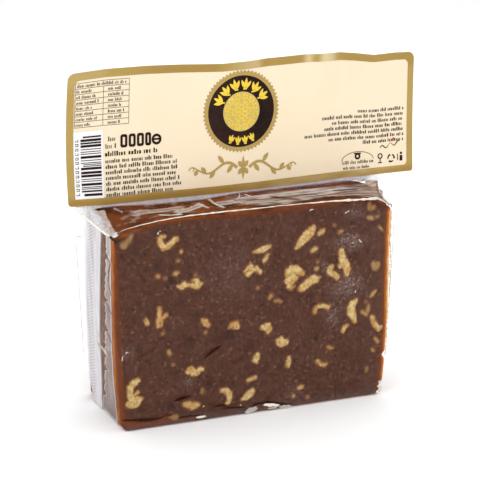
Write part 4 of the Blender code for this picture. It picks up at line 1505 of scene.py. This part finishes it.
def end_film(block, film, side, y, z):
    """Distance of the loose film from the middle plane over an end."""
    radius = block.edge_radius + film.stand_off
    half = 0.5 * block.thickness + film.stand_off
    inset = np.clip(np.abs(y) - (half - radius), 0, radius)
    drop = radius - np.sqrt(radius ** 2 - inset ** 2)
    reach = side_reach(block, side, y, np.clip(z, 0, block.height)) + film.stand_off
    inner = smooth(half, half - 3 * MM, np.abs(y)) * smooth(0, 3 * MM, z)
    glare, clear, _ = end_bands(z)
    spot = (side * 0.2, y, z)
    loose = 0.25 * MM * (1 + ripple(spot, (1, 90, 60), 6))
    crumple = 1 - np.abs(ripple(spot, (1, 230, 420), 14)) * 2
    along = smooth(glare, glare + 5 * MM, y)
    loose = loose * along + 0.35 * MM * crumple * smooth(clear - 6 * MM, clear, y)
    return reach - drop + loose * inner


class HALVA_OT_film_ends(bpy.types.Operator):
    """Lay the loose film and the folded weld over both ends of the block"""

    bl_idname = "halva.film_ends"
    bl_label = "Film over the ends"

    def execute(self, context):
        block, film, _, colours = chosen(context)
        loose = film_finish("loose film", colours)
        weld = film_finish("welded film", colours, dotted=True)
        for side, name in ((-1, "left"), (1, "right")):
            add_loose_film(block, film, side, name, loose)
            add_weld(block, film, side, name, weld)
        return {"FINISHED"}


def add_loose_film(block, film, side, name, material):
    """Film that hangs over the end: clear, then a band of painted glare, then crumpled and clear
    again.
    """
    half = 0.5 * block.thickness - 0.4 * block.edge_radius
    y, share = sheet(*END_GRID, (-half, half))
    ceiling = top_height(block, side * END_PLACE + 0 * y, y) - 1.2 * MM
    z = 0.3 * MM + (ceiling - 0.3 * MM) * share
    x = side * end_film(block, film, side, y, z)
    spot = (side * 0.3, y, z)
    glare, clear, _ = end_bands(z)
    for place, reach, tall in CRUMPLES:
        clear = clear - reach * MM * np.clip(1 - np.abs(z / MM - place) / tall, 0, 1)
    clear = clear + 0.5 * MM * ripple(spot, (1, 1, 700), 5)
    glare = glare + 0.5 * MM * ripple(spot, (1, 1, 260), 7)
    mottle = ripple(spot, (1, 160, 110), 3)
    lines = np.zeros(len(y))
    for path, width in END_LINES:
        gap, _ = distance_to_path(y / MM, z / MM, path)
        lines = np.maximum(lines, np.exp(-(gap / width) ** 4))
    glare_band = (smooth(glare - 0.3 * MM, glare + 0.5 * MM, y)
            * smooth(clear + 0.2 * MM, clear - 0.2 * MM, y))
    rim = bell(y - clear, 0.45 * MM)
    crumbs = smooth(0.25, 0.5, ripple(spot, (1, 420, 520), 11)) * (y > clear)
    foot = smooth(14 * MM, 2 * MM, z)
    knot = bell(y + 3 * MM, 6 * MM) * bell(z - 28.5 * MM, 2.4 * MM)
    knot *= smooth(-0.1, 0.25, ripple(spot, (1, 260, 500), 21))
    glare_milk = np.interp(z / MM, (0, 12, 45, 60, 80), (0.22, 0.30, 0.34, 0.50, 0.55))
    # The glare band and the bright lines at its two edges are painted highlights
    milk = (0.01 + glare_band * (glare_milk + 0.10 * mottle * (1 + foot)) + 0.45 * rim
            + 0.40 * bell(y - glare - 0.5 * MM, 0.5 * MM)
            + 0.15 * crumbs + 0.15 * (y > clear))
    milk = milk * (1 - 0.9 * lines) + 0.6 * knot
    milk = milk * (1 - smooth(13 * MM, 16 * MM, y) * smooth(16 * MM, 10 * MM, z))
    x = x + side * 0.5 * MM * (0.6 * rim + knot)
    marks = {"gloss": 0.05 + 0.25 * glare_band * (1 - lines), "milk": np.clip(milk, 0, 0.95),
             "warm": 0.30 + 0.7 * (y > clear)}
    add_piece("film_end_" + name, as_points(x, y, z), grid_faces(*END_GRID, turned=side < 0),
              material, marks=marks)


def add_weld(block, film, side, name, material):
    """Folded weld: a sheet that stands off the end, with a dotted band along it."""
    across, share = sheet(*WELD_GRID)
    ceiling = top_height(block, side * END_PLACE + 0 * across, 22 * MM * across) - 0.4 * MM
    z = 0.4 * MM + (ceiling - 0.4 * MM) * share
    _, _, start = end_bands(z)
    rear = np.interp(z / MM, WELD_REAR_HEIGHTS, WELD_REAR) * MM
    start = start + 0.15 * MM * ripple((z, 0, 0), 300, side)
    lip = np.clip(across / 0.03, 0, 1)
    y = start + (rear - start) * np.clip((across - 0.03) / 0.97, 0, 1)
    under = side_reach(block, side, np.clip(y, -20 * MM, 20 * MM), z) + film.stand_off
    share = (y - start) / (rear - start)
    rise = weld_rise(film, share, z)
    spot = (side * 0.4, y, z)
    rise = rise + 0.12 * MM * ripple(spot, (1, 120, 60), 4) * np.sin(np.pi * share)
    x = side * (under + rise * lip)
    gone = y - start
    dots = smooth(5.0 * MM, 9.0 * MM, gone) * smooth(15.0 * MM, 13.0 * MM, gone)
    streaks = ripple(spot, (1, 420, 30), 17)
    milk = 0.84 + 0.10 * streaks + 0.12 * np.exp(-gone / (0.6 * MM))
    marks = {"gloss": np.full(len(y), 0.4), "milk": np.clip(milk * (0.4 + 0.6 * lip), 0, 0.98),
             "dots": dots, "white": smooth(14.5 * MM, 18 * MM, gone)}
    add_piece("film_weld_" + name, as_points(x, y, z), grid_faces(*WELD_GRID, turned=side < 0),
              material, marks=marks)


def weld_rise(film, share, z):
    """How far a weld stands off an end, share of its way to the rear and at heights z."""
    return film.weld_rise * (0.7 + 0.3 * share) + film.rear_slack * 0.6 * share * z / 0.082


def wing_tips(header):
    """Where the film's wings end along X."""
    return header.foot_left[0] + 1.2 * MM, header.foot_right[0] - 1.2 * MM


def film_top_point(block, film, header, u, v):
    """Points of the film over the top: u from tip to tip, v from front edge to back edge."""
    tips = wing_tips(header)
    x = tips[0] + (tips[1] - tips[0]) * u
    shoulder = np.where(x < 0, block.left_head, block.right_head) - WING_START
    reach = np.where(x < 0, -tips[0], tips[1]) - shoulder
    wing = np.clip((np.abs(x) - shoulder) / reach, 0.0, 1.0)
    on_block = np.clip(x, WING_START - block.left_head, block.right_head - WING_START)
    share = (x - header.foot_left[0]) / (header.foot_right[0] - header.foot_left[0])
    _, foot_y, foot_z = header_surface(header, share * header.width, np.zeros(len(x))).T
    brim = np.sign(v) * (0.5 * block.thickness - 0.5 * MM) * (1 - wing) + foot_y * wing
    y = foot_y + (brim - foot_y) * np.abs(v)
    edge_z = top_height(block, on_block, y) + 0.30 * MM
    sag = np.where(x < 0, film.wing_sag, 0.4 * film.wing_sag) * np.sin(np.pi * wing ** 0.85)
    edge_z += (foot_z - edge_z) * wing - sag
    spread = smooth(0.0, 0.35, wing)
    room = 6 * MM + (np.maximum(np.abs(brim - foot_y), 1 * MM) - 6 * MM) * spread
    rise = (1 - np.minimum(1.0, np.abs(y - foot_y) / room)) ** (5.0 - 3.4 * spread)
    z = edge_z + (foot_z - edge_z) * rise
    rim = np.sign(v) * brim - np.abs(y)
    crest = np.interp(rim / MM, (0, 0.35, 0.8, 1.8), (-0.7, 0.35, 0.45, 0.0)) * MM
    z += crest * (1 - wing) * (np.abs(v) > 0.3)
    return as_points(x, y, z), wing


class HALVA_OT_film_top(bpy.types.Operator):
    """Gather the clear film over the top of the block up to the header's foot"""

    bl_idname = "halva.film_top"
    bl_label = "Film over the top"

    def execute(self, context):
        block, film, header, colours = chosen(context)
        u, v = sheet(*TOP_GRID, along=(-1, 1))
        v = np.sign(v) * np.abs(v) ** 1.35
        points, wing = film_top_point(block, film, header, u, v)
        top = top_height(block, points[:, 0], points[:, 1])
        x, y, z = points[:, 0] / MM, points[:, 1] / MM, points[:, 2]
        streak, reflected_haze = top_streaks(x, y, v)
        flat = (1 - smooth(0.0, 0.2, wing)) * smooth(0.0, 0.10, 1 - np.abs(v))
        flat = flat * (1 - smooth(0.5 * MM, 1.1 * MM, z - top))
        folds = ripple((x * 0.05, y * 0.35, 2), seed=12)
        z += (0.30 * streak + 0.14 * (1 - 2 * np.abs(folds))) * MM * flat
        low = np.where(wing > 0, 0.0, top + 0.10 * MM)
        z[:] = np.where(np.abs(v) < 0.93, np.maximum(z, low), z)
        neck_low = np.interp(x, NECK_PLACES, NECK_HEIGHTS) * MM
        above = smooth(neck_low - 0.1 * MM, neck_low + 0.5 * MM, z)
        neck = above * (np.abs(v) < 0.5) * (1 - smooth(0.1, 0.5, wing))
        gathers = ripple((x * 0.8, y * 0.1, 0), seed=9)
        hatch = 1 + 0.5 * ripple((x * 0.9, y * 0.9, 0), seed=27)
        brink = np.interp(y, BRINK_PLACES, BRINK)
        beyond = smooth(brink + 0.25, brink - 0.25, x)
        # Painted reflection of the halva in the film of the right wing, up to the brink
        halva_reflection = beyond * smooth(0.0, 0.02, wing) * (x > 0) * (1 - above)
        ribs = ripple((x * 0.12, y * 0.9, 0), seed=35)
        line = halva_reflection * bell(x - brink + 0.3, 0.5)
        tint = np.clip(halva_reflection * (0.72 - 0.8 * ribs) + line, 0, 1)
        line = np.interp(y, (-16.3, -12.6, -10.5, -1.3), (-56.4, -56.4, -56.8, -55.1))
        left_wing = 0.70 * smooth(line + 0.1, line - 0.4, x) * smooth(0.70, 0.30, wing) * hatch
        right_wing = 0.12 * smooth(0.0, 0.02, wing) * smooth(0.22, 0.14, wing) * (x > 0)
        # Painted reflections: glare streaks and a reflection over the top, lilac on the neck
        milk = (0.01 + (streak + reflected_haze) * flat + neck * (0.62 + 0.15 * gathers)
                + (left_wing + right_wing) * (np.abs(v) > 0.1))
        milk = np.maximum(milk, 0.92 * halva_reflection)
        gloss = 0.03 + 0.3 * streak + 0.12 * reflected_haze + 0.3 * neck
        marks = {"gloss": gloss * (1 - 0.6 * smooth(0, 0.3, wing)), "milk": np.clip(milk, 0, 0.95),
                 "warm": np.clip(0.8 * flat + halva_reflection, 0, 1) * (neck < 0.3),
                 "lilac": neck, "halva_reflection": tint}
        add_piece("film_top", points, grid_faces(*TOP_GRID),
                  film_finish("gathered film", colours), replaced=("bag_top",),
                  marks=marks)
        add_gussets(block, film, header, colours)
        add_crests(block, film, header, colours)
        return {"FINISHED"}


def top_streaks(x, y, v):
    """Painted glare streaks and a painted reflection over the top, at places in mm."""
    squash = 0.45
    streak = np.zeros(len(x))
    broken = ripple((x * 0.22, y * 0.5, 0), seed=31)
    fine = ripple((x * 0.7, y * 1.1, 0), seed=33)
    for path, width, strength in TOP_STREAKS:
        gap, along = distance_to_path(x, y * squash, [(a, b * squash) for a, b in path])
        near = gap / (1.3 * width) + 0.35 * fine
        body = (1 - smooth(0.55, 0.95, near)) * 0.75 + 0.6 * bell(near - 0.6, 0.2)
        streak = np.maximum(streak, 1.15 * strength * tapered(along) * body)
    start = np.interp(x, HAZE_PLACES, HAZE_START)
    reflected_haze = 0.50 * smooth(start - 0.3, start + 0.9, y + 0.8 * fine) * smooth(-9, 1, x)
    ribs = ripple((x * 0.07, y * 0.9 - x * 0.05, 0), seed=35)
    reflected_haze = 1.25 * reflected_haze * np.clip(0.90 + 0.6 * broken + 1.1 * ribs, 0.08, 2)
    for path, width in TOP_CLEARINGS:
        gap, _ = distance_to_path(x, y * squash, [(a, b * squash) for a, b in path])
        reflected_haze = reflected_haze * (1 - 0.85 * bell(gap, 0.8 * width))
    wisps = 0.25 * smooth(0.30, 0.55, broken + 0.5 * fine) * (x < 0) * smooth(-20.5, -18, y)
    rear = 0.15 * smooth(0.1, 0.5, broken) * (v > 0)
    reflected_haze = reflected_haze * (1 - 0.4 * smooth(40, 52, x))
    return streak, np.clip(np.where(v > 0, rear, reflected_haze + wisps), 0, 0.8)


def add_gussets(block, film, header, colours):
    """Triangles of film from each end of the block out to the header's lower corners."""
    points, faces, milk = [], [], []
    tips = wing_tips(header)
    for side in (-1, 1):
        half = (block.left_head if side < 0 else block.right_head) - WING_START
        start = (side * half - tips[0]) / (tips[1] - tips[0])
        share, u = sheet(*GUSSET_GRID, along=(start, max(side, 0)))
        ahead, wing = film_top_point(block, film, header, u, np.full(len(u), -1.0))
        behind, _ = film_top_point(block, film, header, u, np.full(len(u), 1.0))
        spots = ahead + (behind - ahead) * share[:, None]
        spots[:, 2] -= 1.0 * MM * np.sin(np.pi * share) * (0.4 + wing)
        ribs = np.abs(np.sin(9 * np.pi * share + 4 * wing))
        milk += list((0.10 + 0.25 * ribs ** 3) * (1 - 0.8 * wing))
        faces += grid_faces(*GUSSET_GRID, len(points), turned=side > 0)
        points += list(spots)
    add_piece("film_gussets", points, faces, film_finish("gusset film", colours),
              marks={"gloss": [0.3] * len(points), "milk": milk})


def add_crests(block, film, header, colours):
    """Folded crests along the top front edge, over the top and out on the wings, painted as
    highlights.
    """
    tubes = TubeHeap()
    places, heights, radii = np.array(FRONT_CREST).T * MM
    x = np.linspace(places[0], places[-1], 190)
    wobble = ripple((x, 0, 0), 330, 3)
    z = np.interp(x, places, heights) + 0.12 * MM * wobble
    reach = 1.15 * np.interp(x, places, radii) * (0.85 + 0.5 * ripple((x, 1, 0), 520, 4))
    front = -0.5 * block.thickness + 0.15 * MM
    tubes.add((x, front, z), reach, 0.9, 17, sides=8)
    for index, (path, radius, milk) in enumerate(TOP_FOLDS):
        x, y, lift = on_path(path, np.linspace(0, 1, 20))
        tubes.add((x, y, top_height(block, x, y) + 0.3 * MM + lift), radius * MM, milk,
                  40 + index, flat=0.6)
    for side, strength, radius, u in ((-1, 0.98, 0.42, np.linspace(0.0, 0.085, 26)),
                                      (1, 0.22, 0.22, np.linspace(0.845, 1.0, 40))):
        line, _ = film_top_point(block, film, header, u, np.full(len(u), -1.0))
        tubes.add(line.T, radius * MM, strength, 31 + side, sides=8)
    for side, strength, low in ((-1, 0.45, 16), (1, 0.35, 0.5)):
        z = np.linspace(low * MM, EDGE_END, 60)
        x = side * (side_reach(block, side, 0.5 * block.thickness, z) + 0.9 * MM)
        x += side * 0.35 * MM * ripple((z, 0, 0), 45, side)
        tubes.add((x, 0.5 * block.thickness + 0.3 * MM, z), 0.14 * MM, strength, 61 + side)
    tubes.build("film_crests", crease_finish("film crest", colours.crest_highlight))
    hook = TubeHeap()
    hook.add(on_path(DARK_HOOK, np.linspace(0, 1, 16)), 0.60 * MM, 0.95, 83)
    hook.build("film_hook", crease_finish("dark fold", colours.hook, gloss=0.05))
    edges = TubeHeap()
    z = np.linspace(40 * MM, EDGE_END, 40)
    x = np.interp(z, (40 * MM, 55 * MM, EDGE_END), (58.7 * MM, 59.3 * MM, 59.7 * MM))
    edges.add((x, -0.5 * block.thickness + 2.1 * MM, z), 0.15 * MM, 0.6, 77)
    z = np.append(np.linspace(14 * MM, 66 * MM, 60), np.linspace(66.4 * MM, 69 * MM, 10))
    y = np.interp(z / MM, WELD_REAR_HEIGHTS + (66, 69), WELD_REAR + (23.2, 13.0)) * MM
    x = -side_reach(block, -1, 20 * MM, z) - film.stand_off - weld_rise(film, 1.0, z)
    edges.add((x, y, z), 0.15 * MM, 0.8, 79)
    edges.build("film_outlines", crease_finish("film edge", colours.film_edge))


class TubeHeap:
    """Collects thin crests of folded film into one mesh."""

    def __init__(self):
        self.points, self.faces, self.milk = [], [], []

    def add(self, path, radii, strength, seed, sides=6, flat=1.0):
        """Tube along places (x, y, z) whose thickness wanders and fades at its ends."""
        path = as_points(*path)
        first, count = len(self.points), len(path)
        run = headings(path)
        across = np.cross(run, (0, 1, 0))
        steep = np.linalg.norm(across, axis=1) < 0.1
        across[steep] = np.cross(run[steep], (0, 0, 1))
        across /= np.linalg.norm(across, axis=1, keepdims=True)
        share = np.linspace(0, 1, count)
        taper = np.minimum(1, 8 * np.minimum(share, 1 - share)) ** 0.5
        swell = 0.85 + 0.35 * ripple((0.45 * np.arange(count), seed, 0))
        across *= (radii * np.maximum(0.15, taper * swell))[:, None]
        upward = flat * np.cross(across, run)
        rims = [path + across * math.cos(angle) + upward * math.sin(angle)
                for angle in math.tau * np.arange(sides) / sides]
        self.points += list(np.stack(rims, axis=1).reshape(-1, 3))
        self.milk += list(np.repeat(strength * taper, sides))
        self.faces += grid_faces(sides, count, first, closed=True)
        self.faces.append(tuple(first + side for side in reversed(range(sides))))
        self.faces.append(tuple(first + (count - 1) * sides + side for side in range(sides)))

    def bead(self, spot, radius, strength, draw):
        """Little blister of film about a spot."""
        turn = draw.uniform(0, math.tau)
        reach = radius * draw.uniform(0.9, 2.0)
        steps = np.array((-0.95, -0.6, 0.0, 0.6, 0.95))
        self.add((spot[0] + math.cos(turn) * reach * steps, spot[1],
                  spot[2] + math.sin(turn) * reach * steps),
                 radius * (1 - steps ** 2) ** 0.5, strength, 3.0, flat=0.6)

    def build(self, name, material):
        """Turn the crests into one piece."""
        add_piece(name, self.points, self.faces, material, marks={"milk": self.milk})


# Studio

class HALVA_OT_stage(bpy.types.Operator):
    """Lay the pale floor and set the soft lights and the camera"""

    bl_idname = "halva.stage"
    bl_label = "Stage"

    def execute(self, context):
        studio = context.scene.halva_studio
        add_floor()
        add_sky(context, studio)
        for name, place, size, power in (
                ("overhead softbox", (0.10, -0.25, 1.35), (1.6, 1.6), 6.0),
                ("left softbox", (-1.05, -0.35, 0.50), (0.7, 0.9), 2.0),
                ("rear strip", (0.42, 0.95, 0.55), (0.9, 0.25), 2.0),
                ("front softbox", (-0.35, -1.30, 0.55), (0.9, 0.7), 1.5)):
            add_softbox(context, name, Vector(place), size, power)
        add_camera(context, studio)
        context.scene.view_settings.view_transform = "Standard"
        return {"FINISHED"}


def add_floor():
    """Wide pale floor that the pack stands on."""
    mesh = bpy.data.meshes.new("floor")
    mesh.from_pydata([(-5, -5, 0), (5, -5, 0), (5, 5, 0), (-5, 5, 0)], [], [(0, 1, 2, 3)])
    floor = bpy.data.objects.new("floor", mesh)
    bpy.context.scene.collection.objects.link(floor)
    finish = Finish("pale floor")
    mesh.materials.append(finish.done({"Base Color": (0.93, 0.93, 0.93, 1.0),
                                       "Roughness": 0.9, "Specular IOR Level": 0.0}))


def add_sky(context, studio):
    """Even white light all round."""
    world = bpy.data.worlds.new("studio sky")
    world.use_nodes = True
    background = world.node_tree.nodes["Background"]
    background.inputs["Color"].default_value = (1.0, 1.0, 1.0, 1.0)
    background.inputs["Strength"].default_value = studio.sky
    context.scene.world = world


def add_softbox(context, name, place, size, power):
    """Area light that points at the pack."""
    light = bpy.data.lights.new(name, "AREA")
    light.shape = "RECTANGLE"
    light.size, light.size_y = size
    light.energy = power
    lamp = bpy.data.objects.new(name, light)
    lamp.location = place
    aim = Vector((0.0, 0.0, 0.06)) - place
    lamp.rotation_euler = aim.to_track_quat("-Z", "Y").to_euler()
    context.scene.collection.objects.link(lamp)


def add_camera(context, studio):
    """Camera at the angle from which the pack was seen."""
    camera = bpy.data.objects.new("camera", bpy.data.cameras.new("camera"))
    camera.data.lens = studio.lens
    camera.data.sensor_width = 36.0
    camera.data.clip_start = 0.01
    place = Matrix.Translation(studio.aim)
    for turn, axis in ((studio.azimuth, "Z"), (math.pi / 2 - studio.elevation, "X"),
                       (studio.roll, "Z")):
        place @= Matrix.Rotation(turn, 4, axis)
    camera.matrix_world = place @ Matrix.Translation((0, 0, studio.distance))
    context.scene.collection.objects.link(camera)
    context.scene.camera = camera


# Panel and run

OPERATORS = (
    HALVA_OT_stage,
    HALVA_OT_block,
    HALVA_OT_walnuts,
    HALVA_OT_header,
    HALVA_OT_print,
    HALVA_OT_film_wrap,
    HALVA_OT_film_ends,
    HALVA_OT_film_top,
)


class HALVA_PT_panel(bpy.types.Panel):
    """Lists the pieces of the pack"""

    bl_idname = "HALVA_PT_panel"
    bl_label = "Halva pack"
    bl_space_type = "VIEW_3D"
    bl_region_type = "UI"
    bl_category = "Halva"

    def draw(self, context):
        for operator in OPERATORS:
            self.layout.operator(operator.bl_idname)
        for group in GROUPS:
            box = self.layout.box()
            box.label(text=group.replace("_", " ").capitalize())
            for name in GROUPS[group].__annotations__:
                box.prop(getattr(context.scene, group), name)


def register():
    """Register the sizes, the operators and the panel."""
    for name, group in GROUPS.items():
        bpy.utils.register_class(group)
        setattr(bpy.types.Scene, name, PointerProperty(type=group))
    for operator in OPERATORS:
        bpy.utils.register_class(operator)
    bpy.utils.register_class(HALVA_PT_panel)


def unregister():
    """Take the panel, the operators and the sizes away again."""
    bpy.utils.unregister_class(HALVA_PT_panel)
    for operator in reversed(OPERATORS):
        bpy.utils.unregister_class(operator)
    for name, group in reversed(GROUPS.items()):
        delattr(bpy.types.Scene, name)
        bpy.utils.unregister_class(group)


def main():
    """Build every piece in order."""
    register()
    for operator in OPERATORS:
        family, name = operator.bl_idname.split(".")
        getattr(getattr(bpy.ops, family), name)()


if __name__ == "__main__":
    main()
